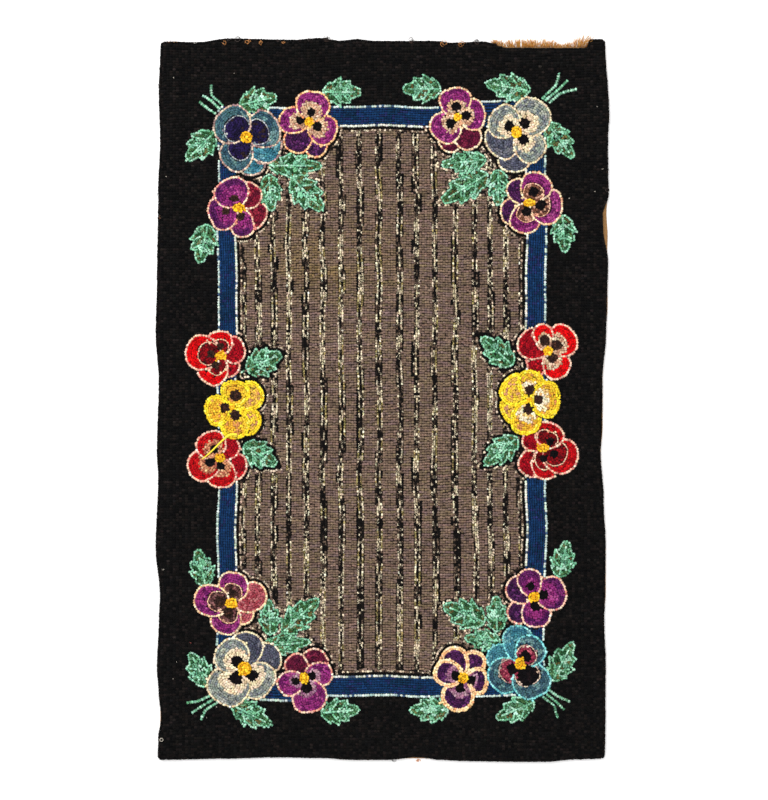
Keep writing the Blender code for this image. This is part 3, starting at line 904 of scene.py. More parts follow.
PANSIES = (
    Pansy(
        -215,
        417,
        (Petal(138, 58, 64), Petal(24, 56, 62), Petal(240, 58, 54)),
        (Petal(-24, 60, 56), Petal(-78, 62, 50)),
        (19, 19),
        0.66,
        (),
        PansyDyes(MAUVE_PEACH, SLATE_TEAL, NAVY_EYE, TEAL, line=PALE_LINE),
    ),
    Pansy(
        -115,
        442,
        (Petal(77, 49, 56), Petal(176, 48, 44), Petal(-31, 48, 50)),
        (Petal(237, 56, 45), Petal(-75, 58, 40)),
        (15, 15),
        0.67,
        (Spot(15, 13), Spot(15, 12), Spot(15, 14)),
        PansyDyes(PEACH_ORANGE, MAGENTA, PEACH_EYE, DARK_PURPLE),
    ),
    Pansy(
        -227,
        305,
        (Petal(115, 50, 56), Petal(197, 50, 56), Petal(-79, 48, 40)),
        (Petal(54, 46, 45), Petal(-25, 47, 48)),
        (20, 14),
        0.74,
        (Spot(17, 12), Spot(22, 12), Spot(15, 12)),
        PansyDyes(PINK_PEACH, PURPLE, MAGENTA, CLARET, spot=SPOT_BROWN),
    ),
    Pansy(
        121,
        449,
        (Petal(98, 48, 52), Petal(10, 45, 51), Petal(221, 48, 54)),
        (Petal(-63, 57, 45), Petal(254, 59, 40)),
        (13, 13),
        0.6,
        (Spot(17, 15), Spot(14, 15), Spot(15.5, 15)),
        PansyDyes(PEACH, MAGENTA, PEACH_EYE, WINE),
    ),
    Pansy(
        215,
        425,
        (Petal(140, 50, 56), Petal(47, 64, 62), Petal(-47, 57, 50)),
        (Petal(212, 52, 60), Petal(265, 65, 55)),
        (17, 19),
        0.63,
        (Spot(15, 16), Spot(19, 16), Spot(16, 16)),
        PansyDyes(CREAM_LINE, GREY, CREAM_EYE, SLATE),
    ),
    Pansy(
        235,
        313,
        (Petal(67, 51, 50), Petal(-12, 54, 58), Petal(256, 50, 50)),
        (Petal(130, 45, 40), Petal(208, 50, 43)),
        (20, 12),
        0.62,
        (Spot(19, 16), Spot(19, 16), Spot(15, 16)),
        PansyDyes(PEACH, MAGENTA, BROWN_EYE, DARK_PURPLE, line=EYE_LINE),
    ),
    Pansy(
        -238,
        -13,
        (Petal(190, 43, 50), Petal(78, 44, 47), Petal(-80, 50, 48)),
        (Petal(35, 57, 46), Petal(-42, 55, 46)),
        (9, 9),
        0.5,
        (Spot(11, 15, 180), Spot(20.6, 17, 74), Spot(13, 16, -65)),
        PansyDyes(YELLOW, TAN_MOTTLE, TAN_MOTTLE, YELLOW_BACK, spot=SPOT_BROWN, rows=2),
    ),
    Pansy(
        -255,
        70,
        (Petal(172, 57, 57), Petal(95, 40, 41), Petal(241, 50, 50)),
        (Petal(25, 40, 45), Petal(-55, 39, 34)),
        (17, 14),
        0.64,
        (Spot(16, 12), Spot(15, 12), Spot(17, 12)),
        PansyDyes(PINK_PEACH, BRIGHT_RED, WINE_EYE, DARK_RED, spot=SPOT_BROWN, line=EYE_LINE),
    ),
    Pansy(
        -257,
        -93,
        (Petal(124, 47, 49), Petal(204, 54, 51), Petal(-85, 48, 48)),
        (Petal(57, 40, 42), Petal(-30, 47, 44)),
        (17, 14),
        0.66,
        (Spot(16.5, 13), Spot(18, 14), Spot(13, 13)),
        PansyDyes(PINK_PEACH, RED, TAN_EYE, DARK_RED),
    ),
    Pansy(
        235,
        0,
        (Petal(0, 50, 58), Petal(85, 47, 43), Petal(-99, 57, 49)),
        (Petal(143, 49, 56), Petal(212, 49, 53)),
        (9, 9),
        0.66,
        (Spot(14, 15, 0), Spot(15, 15, 87), Spot(16, 15, -96)),
        PansyDyes(YELLOW, TAN_MOTTLE, PALE_EYE, YELLOW_BACK, spot=SPOT_BROWN, rows=2),
    ),
    Pansy(
        265,
        77,
        (Petal(107, 45, 33), Petal(36, 51, 54), Petal(-59, 48, 46)),
        (Petal(155, 50, 53), Petal(232, 44, 36)),
        (15, 15),
        0.66,
        (Spot(18, 16), Spot(17, 16), Spot(12.5, 15)),
        PansyDyes(PINK_PEACH, BRIGHT_RED, PEACH_EYE, DARK_RED, spot=SPOT_BROWN),
    ),
    Pansy(
        257,
        -77,
        (Petal(65, 43, 48), Petal(-24, 58, 59), Petal(-83, 51, 44)),
        (Petal(146, 37, 34), Petal(235, 53, 44)),
        (21, 13),
        0.68,
        (Spot(15, 13, 45), Spot(19.5, 13, -30), Spot(17, 13, -87)),
        PansyDyes(PINK_PEACH, RED, WINE_EYE, DARK_RED, line=EYE_LINE),
    ),
    Pansy(
        -239,
        -324,
        (Petal(173, 60, 51), Petal(83, 50, 49), Petal(254, 52, 48)),
        (Petal(17, 58, 48), Petal(-44, 43, 34)),
        (20, 15),
        0.62,
        (Spot(18, 18), Spot(15, 13), Spot(16, 17)),
        PansyDyes(PEACH, MAGENTA, BROWN_MAUVE_EYE, ROSE, spot=SPOT_BROWN, line=EYE_LINE),
    ),
    Pansy(
        -218,
        -428,
        (Petal(135, 55, 58), Petal(228, 69, 68), Petal(-41, 54, 62)),
        (Petal(84, 60, 52), Petal(26, 62, 54)),
        (22, 22),
        0.67,
        (Spot(15, 19), Spot(20, 20), Spot(17, 18)),
        PansyDyes(CREAM_LINE, GREY, CREAM_EYE, SLATE),
    ),
    Pansy(
        -123,
        -443,
        (Petal(201, 44, 41), Petal(-75, 56, 57), Petal(14, 46, 40)),
        (Petal(121, 42, 38), Petal(57, 51, 46)),
        (15, 18),
        0.55,
        (Spot(14.5, 12), Spot(16, 17), Spot(13, 13)),
        PansyDyes(PINK_PEACH, MAGENTA, MAUVE_EYE, WINE),
    ),
    Pansy(
        243,
        -314,
        (Petal(107, 47, 39), Petal(12, 52, 55), Petal(-83, 49, 49)),
        (Petal(154, 48, 45), Petal(226, 53, 40)),
        (18, 16),
        0.7,
        (Spot(18.6, 12), Spot(16, 15), Spot(15.6, 14)),
        PansyDyes(PINK_PEACH, PURPLE, MAGENTA, DARK_PURPLE),
    ),
    Pansy(
        220,
        -420,
        (Petal(51, 50, 50), Petal(-57, 62, 60), Petal(218, 57, 57)),
        (Petal(94, 61, 50), Petal(164, 54, 44)),
        (16, 19),
        0.64,
        (Spot(15, 17), Spot(23, 31), Spot(14, 17)),
        PansyDyes(AQUA, SLATE_TEAL, PLUM_EYE, TEAL, line=MAUVE_PEACH),
    ),
    Pansy(
        130,
        -443,
        (Petal(163, 48, 44), Petal(253, 54, 54), Petal(-13, 41, 44)),
        (Petal(119, 53, 47), Petal(57, 49, 40)),
        (16, 18),
        0.6,
        (Spot(12.7, 14), Spot(17, 14), Spot(13, 14)),
        PansyDyes(BRIGHT_PEACH, DARK_PURPLE, MAUVE_EYE, DARK_PURPLE, rows=2),
    ),
)


@dataclass(frozen=True)
class Leaf:
    """One toothed leaf with a midrib and side veins.

    Attributes:
        x: Of its middle.
        y: Of its middle.
        direction: From its foot to its tip, in degrees from +X.
        length: From foot to tip.
        width: Over its teeth.
        stem: Length of the stem at its foot.
    """

    x: float
    y: float
    direction: float
    length: float
    width: float
    stem: float = 0.0

    def placed(self, forward: np.ndarray, aside: np.ndarray) -> np.ndarray:
        """Turns distances along and across the leaf into x and y."""
        turn = math.radians(self.direction)
        x = self.x + forward * math.cos(turn) - aside * math.sin(turn)
        y = self.y + forward * math.sin(turn) + aside * math.cos(turn)
        return np.stack([x, y], axis=-1)

    def half_width(self, share: np.ndarray) -> np.ndarray:
        """Half the leaf's width: a sine lens, fuller at the foot, with saw teeth that point ahead."""
        lens = np.sin(np.pi * share**0.78) ** (0.7 + 0.6 * share)
        saw = (share * 4.3 + 0.1) % 1.0
        teeth = 0.38 * (0.6 - saw) * np.sin(np.pi * share) ** 0.6
        return self.width / 2 * np.clip(lens - teeth, 0.02, None)

    def blob(self) -> Blob:
        """The leaf's outline, drawn out at the tip by 8% of its length."""
        share = np.linspace(0.004, 0.996, 110)
        half = self.half_width(share)
        forward = (1.08 * share - 0.5) * self.length
        right = self.placed(forward, -half)
        left = self.placed(forward[::-1], half[::-1])
        return Blob(np.array([self.x, self.y], float), np.concatenate([right, left]))

    def hook(self, canvas: Canvas) -> Blob:
        """Hooks the outline, the veins and then the green between them."""
        blob = self.blob()
        canvas.hook(*blob.contour(1.0, 3.7), MINT.wind, Part.LEAVES, (4.5, 4.1), 2.4, loose=0.45)
        foot, tip = -self.length / 2 - self.stem, self.length * 0.36
        rib = self.placed(np.array([foot, tip]), np.zeros(2))
        canvas.line(rib, MINT.wind, Part.LEAVES, 3.9, clear=2.4)
        for share in (0.26, 0.5):
            for side in (-1, 1):
                start = (share - 0.5) * self.length
                reach = float(self.half_width(np.array([share + 0.1]))[0]) * 0.94
                ahead = start + reach * 0.75
                vein = self.placed(np.array([start, ahead]), np.array([0, side * reach]))
                canvas.line(vein, MINT.wind, Part.LEAVES, 3.9, clear=2.6)
        canvas.fill(blob, LEAF_GREEN.wind, Part.LEAVES, 4.4)
        canvas.own(blob, 0.9)
        return blob


LEAVES = (
    Leaf(-196, 475, 12, 62, 42),
    Leaf(-288, 403, 225, 62, 44),
    Leaf(-63, 489, 0, 62, 42),
    Leaf(-283, 248, -103, 63, 42),
    Leaf(-137, 372, 0, 84, 38),
    Leaf(-118, 327, -47, 72, 46),
    Leaf(-177, 329, -85, 59, 36),
    Leaf(64, 494, 180, 62, 42),
    Leaf(201, 497, 170, 72, 42),
    Leaf(284, 412, -53, 70, 38),
    Leaf(290, 264, -86, 60, 38),
    Leaf(131, 378, 187, 72, 34),
    Leaf(133, 337, 211, 86, 44),
    Leaf(186, 337, -90, 58, 35),
    Leaf(-187, 60, 25, 62, 45, 10),
    Leaf(-193, -88, -32, 62, 42),
    Leaf(184, 77, 138, 67, 42),
    Leaf(190, -82, 220, 68, 41),
    Leaf(-286, -268, 103, 61, 38),
    Leaf(-290, -430, 118, 63, 38),
    Leaf(-206, -502, -27, 69, 40),
    Leaf(-66, -496, 5, 62, 40),
    Leaf(-178, -347, 93, 57, 33),
    Leaf(-129, -344, 43, 79, 42),
    Leaf(-152, -389, 5, 78, 33),
    Leaf(289, -254, 77, 60, 38),
    Leaf(288, -417, 62, 70, 40),
    Leaf(213, -494, 203, 67, 38),
    Leaf(76, -494, 180, 62, 40),
    Leaf(132, -341, 158, 72, 46),
    Leaf(183, -341, 92, 58, 35),
    Leaf(161, -382, 175, 57, 33),
)


class Shoot(NamedTuple):
    """One fine bent shoot beside a corner pansy: its foot, its bend and its tip."""

    foot: tuple[float, float]
    bend: tuple[float, float]
    tip: tuple[float, float]


SHOOTS = (
    Shoot((-252, 467), (-270, 484), (-271, 501)),
    Shoot((-256, 461), (-272, 476), (-285, 484)),
    Shoot((-260, 452), (-278, 464), (-290, 474)),
    Shoot((255, 478), (278, 500), (283, 520)),
    Shoot((260, 475), (278, 490), (297, 508)),
    Shoot((266, 471), (284, 487), (311, 494)),
    Shoot((-266, -468), (-289, -479), (-310, -483)),
    Shoot((-264, -475), (-286, -488), (-302, -499)),
    Shoot((-260, -481), (-280, -494), (-288, -510)),
    Shoot((260, -457), (280, -472), (300, -481)),
    Shoot((256, -464), (277, -480), (291, -494)),
    Shoot((253, -470), (275, -487), (280, -507)),
)


@dataclass(frozen=True)
class Ground:
    """Everything between the motifs: band, stripes, field and border.

    Attributes:
        outer: -X, +X, -Y and +Y of the band's outer pale line.
        inner: The same of its inner pale line.
        rows: How many rows the band has, from one pale line to the other.
        stripes: x of each stripe.
        gaps: From the next loop, in border, field, band, pansies and leaves, where a gap is filled.
    """

    outer: tuple[float, float, float, float] = (-259.3, 260.8, -471.4, 465.1)
    inner: tuple[float, float, float, float] = (-230.9, 230.6, -441.2, 434.9)
    rows: int = 8
    stripes: tuple[float, ...] = (
        -220, -196, -171, -147, -120, -93, -64, -34, -4, 29, 56, 85, 118, 149, 173, 198, 222,
    )
    gaps: tuple[float, ...] = (3.45, 3.0, 2.95, 2.65, 2.7)

    def frame(self, row: float) -> list[np.ndarray]:
        """The four sides of one row of the band, each bent a little.

        Row 0 is the outer pale line, row `rows` the inner one, and more of them go on inwards.

        Args:
            row: Number of the row.

        Returns:
            The -Y, +X, +Y and -X side as lines.
        """
        share = row / self.rows
        left, right, low, high = (a + (b - a) * share for a, b in zip(self.outer, self.inner))
        y = np.linspace(low, high, 240)
        x = np.linspace(left, right, 120)
        sink = -3.0 * smooth((-200 - y) / 240)
        wave_y = 1.0 * np.sin(y / 37 + 1) + 0.7 * np.sin(y / 19)
        wave_x = 1.0 * np.sin(x / 41 + 2) + 0.7 * np.sin(x / 17 + 1)
        edge_y = np.sin(np.pi * (y - low) / (high - low))
        edge_x = np.sin(np.pi * (x - left) / (right - left))
        near_y, near_x = np.clip(edge_y * 8, 0, 1), np.clip(edge_x * 8, 0, 1)
        dip = 6.0 * smooth((-95 - x) / 50) * (1 - share)
        rise = self.rise(x) * (1 - share)
        return [
            np.stack([x + sink[0], low - dip + wave_x * near_x], axis=1),
            np.stack([right + sink + wave_y * near_y, y], axis=1),
            np.stack([x, high + rise + wave_x * near_x], axis=1),
            np.stack([left + sink - wave_y * near_y, y], axis=1),
        ]

    def rise(self, x: np.ndarray) -> np.ndarray:
        """How far the band's outer line steps up between the two pansies at the +X, +Y corner."""
        return 9.5 * (smooth((x - 95) / 50) - smooth((x - 200) / 50))

    def in_field(self, x: np.ndarray, y: np.ndarray) -> np.ndarray:
        """Whether places lie inside the band's inner pale line."""
        left, right, low, high = self.inner
        sink = -3.0 * smooth((-200 - y) / 240)
        return (x > left + sink + 2) & (x < right + sink - 2) & (y > low + 2) & (y < high - 2)

    def in_band(self, x: np.ndarray, y: np.ndarray) -> np.ndarray:
        """Whether places lie inside the band's outer pale line."""
        left, right, low, high = self.outer
        sink = -3.0 * smooth((-200 - y) / 240)
        low = low - 6.0 * smooth((-95 - x) / 50)
        high = high + self.rise(x)
        return (x > left + sink) & (x < right + sink) & (y > low) & (y < high)

    def zone(self, x: np.ndarray, y: np.ndarray) -> np.ndarray:
        """The number of the piece that plain ground belongs to at each place."""
        names = list(Part)
        inside = np.where(self.in_field(x, y), names.index(Part.FIELD), names.index(Part.BAND))
        return np.where(self.in_band(x, y), inside, names.index(Part.BORDER))

    def plain(self, part: Part) -> Winder:
        """The wool of the plain ground in one piece."""
        if part is Part.FIELD:
            return Heather(0).wind
        return BLUE.wind if part is Part.BAND else BORDER_BLACK.wind

    def echo(self, canvas: Canvas, pansies: list[Blob], leaves: list[Blob]) -> None:
        """Hooks the rows that follow the motifs where they lie over the field."""
        beside = [blob for blob in leaves if abs(blob.middle[1]) < 150]
        for blob in [*pansies, *beside]:
            self.follow(canvas, blob, 2.6, BLACK)
        for blob in [*pansies, *beside]:
            self.follow(canvas, blob, 6.1, SPECKLE)
        for blob in leaves:
            self.follow(canvas, blob, 2.8, SPECKLE)

    def follow(self, canvas: Canvas, blob: Blob, distance: float, yarn: Yarn) -> None:
        """Hooks one row round a motif, over the field only."""
        points, heading = blob.contour(-distance, 4.0)
        keep = self.in_field(points[:, 0], points[:, 1])
        canvas.hook(points[keep], heading[keep], yarn.wind, Part.FIELD, clear=2.6)

    def band(self, canvas: Canvas) -> None:
        """Hooks the pale lines, then the blue between them, then the two rows inside them."""
        for row, yarn in ((0, BAND_OUTER), (self.rows, BAND_INNER)):
            for side in self.frame(row):
                canvas.line(side, yarn.wind, Part.BAND, 4.0, (4.9, 4.6), loose=0.3)
        for row in range(1, self.rows):
            for side in self.frame(row):
                canvas.line(side, BLUE.wind, Part.BAND, 4.1, (5.2, 4.2), 2.5)
        for row, yarn in ((self.rows + 1.05, BLACK), (self.rows + 2.1, SPECKLE)):
            for side in self.frame(row):
                canvas.line(side, yarn.wind, Part.BAND, 4.0, (5.0, 4.0))

    def stripe_rows(self, canvas: Canvas) -> None:
        """Hooks each stripe as a black column between two speckled ones, all wandering a little."""
        y = np.linspace(self.inner[2] + 8, self.inner[3] - 8, 300)
        for index, x in enumerate(self.stripes):
            wander = 5.0 * (patches(np.full(len(y), index * 9.7), y, 62, 5) - 0.5)
            for offset, yarn in ((0.0, STRIPE_CORE), (-3.2, STRIPE), (3.2, STRIPE)):
                line = np.stack([x + wander + offset, y], axis=1)
                canvas.line(line, yarn.wind, Part.FIELD, 4.0, (4.7, 3.8), 2.4, self.in_field, 0.3)

    def field_rows(self, canvas: Canvas) -> None:
        """Hooks the field from side to side."""
        x = np.linspace(self.inner[0], self.inner[1], 220)
        for index, y in enumerate(np.arange(self.inner[2] + 3, self.inner[3] - 1, 4.0)):
            bend = 1.3 * np.sin(x / 53 + y / 90) + 0.8 * np.sin(x / 23 + y / 31)
            line = np.stack([x, y + bend], axis=1)
            canvas.line(line, Heather(index).wind, Part.FIELD, 4.15, (5.4, 4.1), 2.5, self.in_field, 0.36)

    def border_rows(self, canvas: Canvas) -> None:
        """Hooks one row along the rug's outline, and then the black ground from side to side."""
        across = np.linspace(0, OUTLINE.width, 300)
        along = np.linspace(0, OUTLINE.length, 460)
        rim = OUTLINE.ring(1.7, across, along, pile=True)
        points, heading = resampled(rim, 4.4, closed=True)
        canvas.hook(points, heading, BORDER_BLACK.wind, Part.BORDER, (5.4, 4.6), 2.6)
        x = np.linspace(-366, 366, 360)
        for y in np.arange(-578, 580, 4.3):
            bend = 1.6 * np.sin(x / 61 + y / 77) + 0.9 * np.sin(x / 27 + y / 35)
            canvas.line(
                np.stack([x, y + bend], axis=1), BORDER_BLACK.wind, Part.BORDER, 4.85, (6.4, 4.85), 2.95
            )


HEATHER_DYES = ((61, (134, 100, 92), 0.35), (62, (112, 92, 100), 0.35), (63, (122, 110, 76), 0.35))
"""Seeds, dyes and largest shares of the patches in the field."""

HEATHER_FLECKS = ((150, 122, 108), (92, 76, 66), (124, 104, 108), (128, 112, 78), (70, 58, 52))
"""Dyes of the fibres spun into the field's wool."""


@dataclass(frozen=True)
class Heather:
    """The field's wool: brown heather that changes from row to row, with a golden stain."""

    row: int

    def wind(self, x: np.ndarray, y: np.ndarray) -> np.ndarray:
        """Mixes brown with rose, mauve and olive patches, drawn out along the rows."""
        chance = np.random.default_rng(100 + self.row)
        brown = linear((115, 95, 81))
        colour = np.repeat(brown[None, :], len(x), axis=0)
        wide = x / 3.0 + chance.uniform(0, 400)
        for seed, dye, most in HEATHER_DYES:
            share = most * smooth((patches(wide, y, 8.0, seed) - 0.52) / 0.3)[:, None]
            colour = colour * (1 - share) + linear(dye) * share
        stain = np.exp(-(((x + 78) / 95) ** 2) - ((y - 222) / 55) ** 2) * patches(x, y, 22.0, 9)
        stain = (0.75 * stain)[:, None]
        colour = colour * (1 - stain) + linear((122, 101, 46)) * stain
        row_light = np.exp(0.07 * chance.standard_normal())
        light = np.exp(0.18 * chance.standard_normal(len(x)))
        colour = colour * (row_light * light)[:, None]
        fleck = linear(HEATHER_FLECKS)[chance.integers(0, len(HEATHER_FLECKS), len(x))]
        return np.clip(np.concatenate([colour, 0.5 * colour + 0.5 * fleck], axis=1), 0, 1)


def new_mesh(name: str, points: np.ndarray, corners: np.ndarray, sizes: np.ndarray) -> bpy.types.Mesh:
    """Makes a mesh from whole arrays.

    Args:
        name: Its name.
        points: Rows of x, y and z in metres.
        corners: The point numbers of all faces, one after the other.
        sizes: How many corners each face has.

    Returns:
        The mesh, with smooth faces.
    """
    mesh = bpy.data.meshes.new(name)
    mesh.vertices.add(len(points))
    mesh.vertices.foreach_set("co", points.astype(np.float32).ravel())
    mesh.loops.add(len(corners))
    mesh.loops.foreach_set("vertex_index", corners.astype(np.int32))
    mesh.polygons.add(len(sizes))
    starts = np.concatenate([[0], np.cumsum(sizes)[:-1]])
    mesh.polygons.foreach_set("loop_start", starts.astype(np.int32))
    mesh.polygons.foreach_set("use_smooth", np.ones(len(sizes), bool))
    mesh.update(calc_edges=True)
    mesh.validate()
    return mesh


def in_frame(points: np.ndarray) -> np.ndarray:
    """Moves points from the rug's middle lines to the frame's origin, and turns mm into metres."""
    return (points + SHIFT) * MM


def paint(mesh: bpy.types.Mesh, name: str, colours: np.ndarray) -> None:
    """Stores a colour for each point of a mesh."""
    layer = mesh.attributes.new(name, "FLOAT_COLOR", "POINT")
    full = np.concatenate([colours, np.ones((len(colours), 1))], axis=1)
    layer.data.foreach_set("color", full.astype(np.float32).ravel())


def note(mesh: bpy.types.Mesh, name: str, vectors: np.ndarray) -> None:
    """Stores a vector for each point of a mesh."""
    layer = mesh.attributes.new(name, "FLOAT_VECTOR", "POINT")
    layer.data.foreach_set("vector", vectors.astype(np.float32).ravel())


def added(mesh: bpy.types.Mesh, material: bpy.types.Material) -> bpy.types.Object:
    """Puts a mesh into the scene, in one material."""
    obj = bpy.data.objects.new(mesh.name, mesh)
    bpy.context.scene.collection.objects.link(obj)
    mesh.materials.append(material)
    return obj


def tubes(paths: np.ndarray, radii: np.ndarray, sides: int) -> tuple[np.ndarray, np.ndarray, np.ndarray]:
    """Round closed tubes along paths that all have the same number of points.

    Each ring stands square to its path: one axis lies level and to the left, the other is the cross
    product of the path's direction and that one.

    Args:
        paths: Points, as an array of paths by points by three.
        radii: Radius at each point.
        sides: Corners of a ring.

    Returns:
        Points, corners and face sizes for new_mesh.
    """
    count, length = radii.shape
    way = np.gradient(paths, axis=1)
    way /= np.maximum(np.linalg.norm(way, axis=2, keepdims=True), 1e-9)
    chord = paths[:, -1:, :] - paths[:, :1, :]
    level = np.where(np.hypot(way[..., 0], way[..., 1])[..., None] > 0.15, way, chord + 1e-6)
    left = np.stack([-level[..., 1], level[..., 0], np.zeros((count, length))], axis=2)
    left /= np.maximum(np.linalg.norm(left, axis=2, keepdims=True), 1e-9)
    up = np.cross(way, left)
    turn = np.arange(sides) * 2 * np.pi / sides
    ring = left[:, :, None] * np.cos(turn)[:, None] + up[:, :, None] * np.sin(turn)[:, None]
    rings = paths[:, :, None] + ring * radii[:, :, None, None]
    body = rings.reshape(count, length * sides, 3)
    points = np.concatenate([body, paths[:, :1], paths[:, -1:]], axis=1)
    span, side = np.meshgrid(np.arange(length - 1), np.arange(sides), indexing="ij")
    span, side = span.ravel(), side.ravel()
    ahead = (side + 1) % sides
    quads = np.stack(
        [span * sides + side, span * sides + ahead, (span + 1) * sides + ahead, (span + 1) * sides + side],
        axis=1,
    )
    each = np.arange(sides)
    other = (each + 1) % sides
    last = (length - 1) * sides
    start = np.stack([np.full(sides, length * sides), other, each], axis=1)
    end = np.stack([np.full(sides, length * sides + 1), last + each, last + other], axis=1)
    pattern = np.concatenate([quads.ravel(), start.ravel(), end.ravel()])
    sizes = np.concatenate([np.full(len(quads), 4), np.full(2 * sides, 3)])
    step = np.arange(count)[:, None] * (length * sides + 2)
    corners = (pattern[None, :] + step).ravel()
    return points.reshape(-1, 3), corners, np.tile(sizes, count)


class NodeKit:
    """Adds nodes to a tree and joins them."""

    def __init__(self, tree: bpy.types.NodeTree) -> None:
        self.tree = tree

    def add(self, kind: str, **settings: object) -> bpy.types.Node:
        """Adds a node and sets its properties."""
        node = self.tree.nodes.new(kind)
        for name, value in settings.items():
            setattr(node, name, value)
        return node

    def join(self, source: bpy.types.NodeSocket, target: bpy.types.NodeSocket) -> None:
        """Joins an output to an input."""
        self.tree.links.new(source, target)

    def maths(self, operation: str, first: object, second: object = None) -> bpy.types.NodeSocket:
        """Adds a Math node; its inputs are sockets or numbers."""
        node = self.add("ShaderNodeMath", operation=operation)
        for index, value in enumerate((first, second)):
            if isinstance(value, bpy.types.NodeSocket):
                self.join(value, node.inputs[index])
            elif value is not None:
                node.inputs[index].default_value = value
        return node.outputs[0]


def fibre_group() -> bpy.types.NodeTree:
    """A node group for spun fibres: fine strands along a piece, as a shade and a bent normal.

    Its vector is in mm, the first part along the strands. Noise drawn out along it makes the strands,
    and a finer noise makes loose hairs.

    Returns:
        The group, made once.
    """
    name = "spun_fibres"
    if name in bpy.data.node_groups:
        return bpy.data.node_groups[name]
    group = bpy.data.node_groups.new(name, "ShaderNodeTree")
    group.interface.new_socket("Vector", in_out="INPUT", socket_type="NodeSocketVector")
    group.interface.new_socket("Color", in_out="INPUT", socket_type="NodeSocketColor")
    group.interface.new_socket("Fleck", in_out="INPUT", socket_type="NodeSocketColor")
    depth = group.interface.new_socket("Depth", in_out="INPUT", socket_type="NodeSocketFloat")
    depth.default_value = 0.5
    group.interface.new_socket("Color", in_out="OUTPUT", socket_type="NodeSocketColor")
    group.interface.new_socket("Normal", in_out="OUTPUT", socket_type="NodeSocketVector")
    kit = NodeKit(group)
    given = kit.add("NodeGroupInput")
    result = kit.add("NodeGroupOutput")
    drawn = kit.add("ShaderNodeMapping")
    drawn.inputs["Scale"].default_value = (0.7, 4.0, 4.0)
    kit.join(given.outputs["Vector"], drawn.inputs["Vector"])
    strands = kit.add("ShaderNodeTexNoise", noise_dimensions="3D")
    strands.inputs["Scale"].default_value = 1.0
    strands.inputs["Detail"].default_value = 3.0
    strands.inputs["Distortion"].default_value = 0.4
    kit.join(drawn.outputs["Vector"], strands.inputs["Vector"])
    shade = kit.add("ShaderNodeMapRange")
    shade.inputs["From Min"].default_value = 0.3
    shade.inputs["From Max"].default_value = 0.7
    shade.inputs["To Min"].default_value = 0.72
    shade.inputs["To Max"].default_value = 1.22
    kit.join(strands.outputs["Fac"], shade.inputs["Value"])
    tufts = kit.add("ShaderNodeTexNoise", noise_dimensions="3D")
    tufts.inputs["Scale"].default_value = 0.62
    tufts.inputs["Detail"].default_value = 2.0
    kit.join(given.outputs["Vector"], tufts.inputs["Vector"])
    split = kit.add("ShaderNodeMapRange")
    split.inputs["From Min"].default_value = 0.49
    split.inputs["From Max"].default_value = 0.55
    kit.join(tufts.outputs["Fac"], split.inputs["Value"])
    spun = kit.add("ShaderNodeMix", data_type="RGBA")
    kit.join(split.outputs["Result"], spun.inputs["Factor"])
    kit.join(given.outputs["Color"], spun.inputs["A"])
    kit.join(given.outputs["Fleck"], spun.inputs["B"])
    mixed = kit.add("ShaderNodeVectorMath", operation="SCALE")
    kit.join(spun.outputs["Result"], mixed.inputs[0])
    kit.join(shade.outputs["Result"], mixed.inputs["Scale"])
    kit.join(mixed.outputs["Vector"], result.inputs["Color"])
    bump = kit.add("ShaderNodeBump")
    bump.inputs["Distance"].default_value = 0.0004
    kit.join(given.outputs["Depth"], bump.inputs["Strength"])
    kit.join(strands.outputs["Fac"], bump.inputs["Height"])
    kit.join(bump.outputs["Normal"], result.inputs["Normal"])
    return group


@dataclass(frozen=True)
class FibreFinish:
    """Wool or raw thread: its dye comes from the mesh, with the painted shade that the loops and the bed
    carry there, and its strands come from spun_fibres.

    Attributes:
        name: Of the material.
        depth: How deep the strands look.
        roughness: Of the surface.
        sheen: How much light the loose hairs catch.
    """

    name: str
    depth: float = 0.6
    roughness: float = 0.92
    sheen: float = 0.01

    def material(self) -> bpy.types.Material:
        """Makes the material."""
        material = bpy.data.materials.new(self.name)
        material.use_nodes = True
        kit = NodeKit(material.node_tree)
        shader = material.node_tree.nodes["Principled BSDF"]
        # On the loops and the bed the dye attribute holds painted shade along with the dye.
        dye = kit.add("ShaderNodeAttribute", attribute_name="dye")
        fleck = kit.add("ShaderNodeAttribute", attribute_name="fleck")
        ply = kit.add("ShaderNodeAttribute", attribute_name="ply")
        fibres = kit.add("ShaderNodeGroup", node_tree=fibre_group())
        fibres.inputs["Depth"].default_value = self.depth
        kit.join(ply.outputs["Vector"], fibres.inputs["Vector"])
        kit.join(dye.outputs["Color"], fibres.inputs["Color"])
        kit.join(fleck.outputs["Color"], fibres.inputs["Fleck"])
        kit.join(fibres.outputs["Color"], shader.inputs["Base Color"])
        kit.join(fibres.outputs["Normal"], shader.inputs["Normal"])
        shader.inputs["Roughness"].default_value = self.roughness
        shader.inputs["Specular IOR Level"].default_value = 0.05
        shader.inputs["Sheen Weight"].default_value = self.sheen
        shader.inputs["Sheen Roughness"].default_value = 0.6
        return material


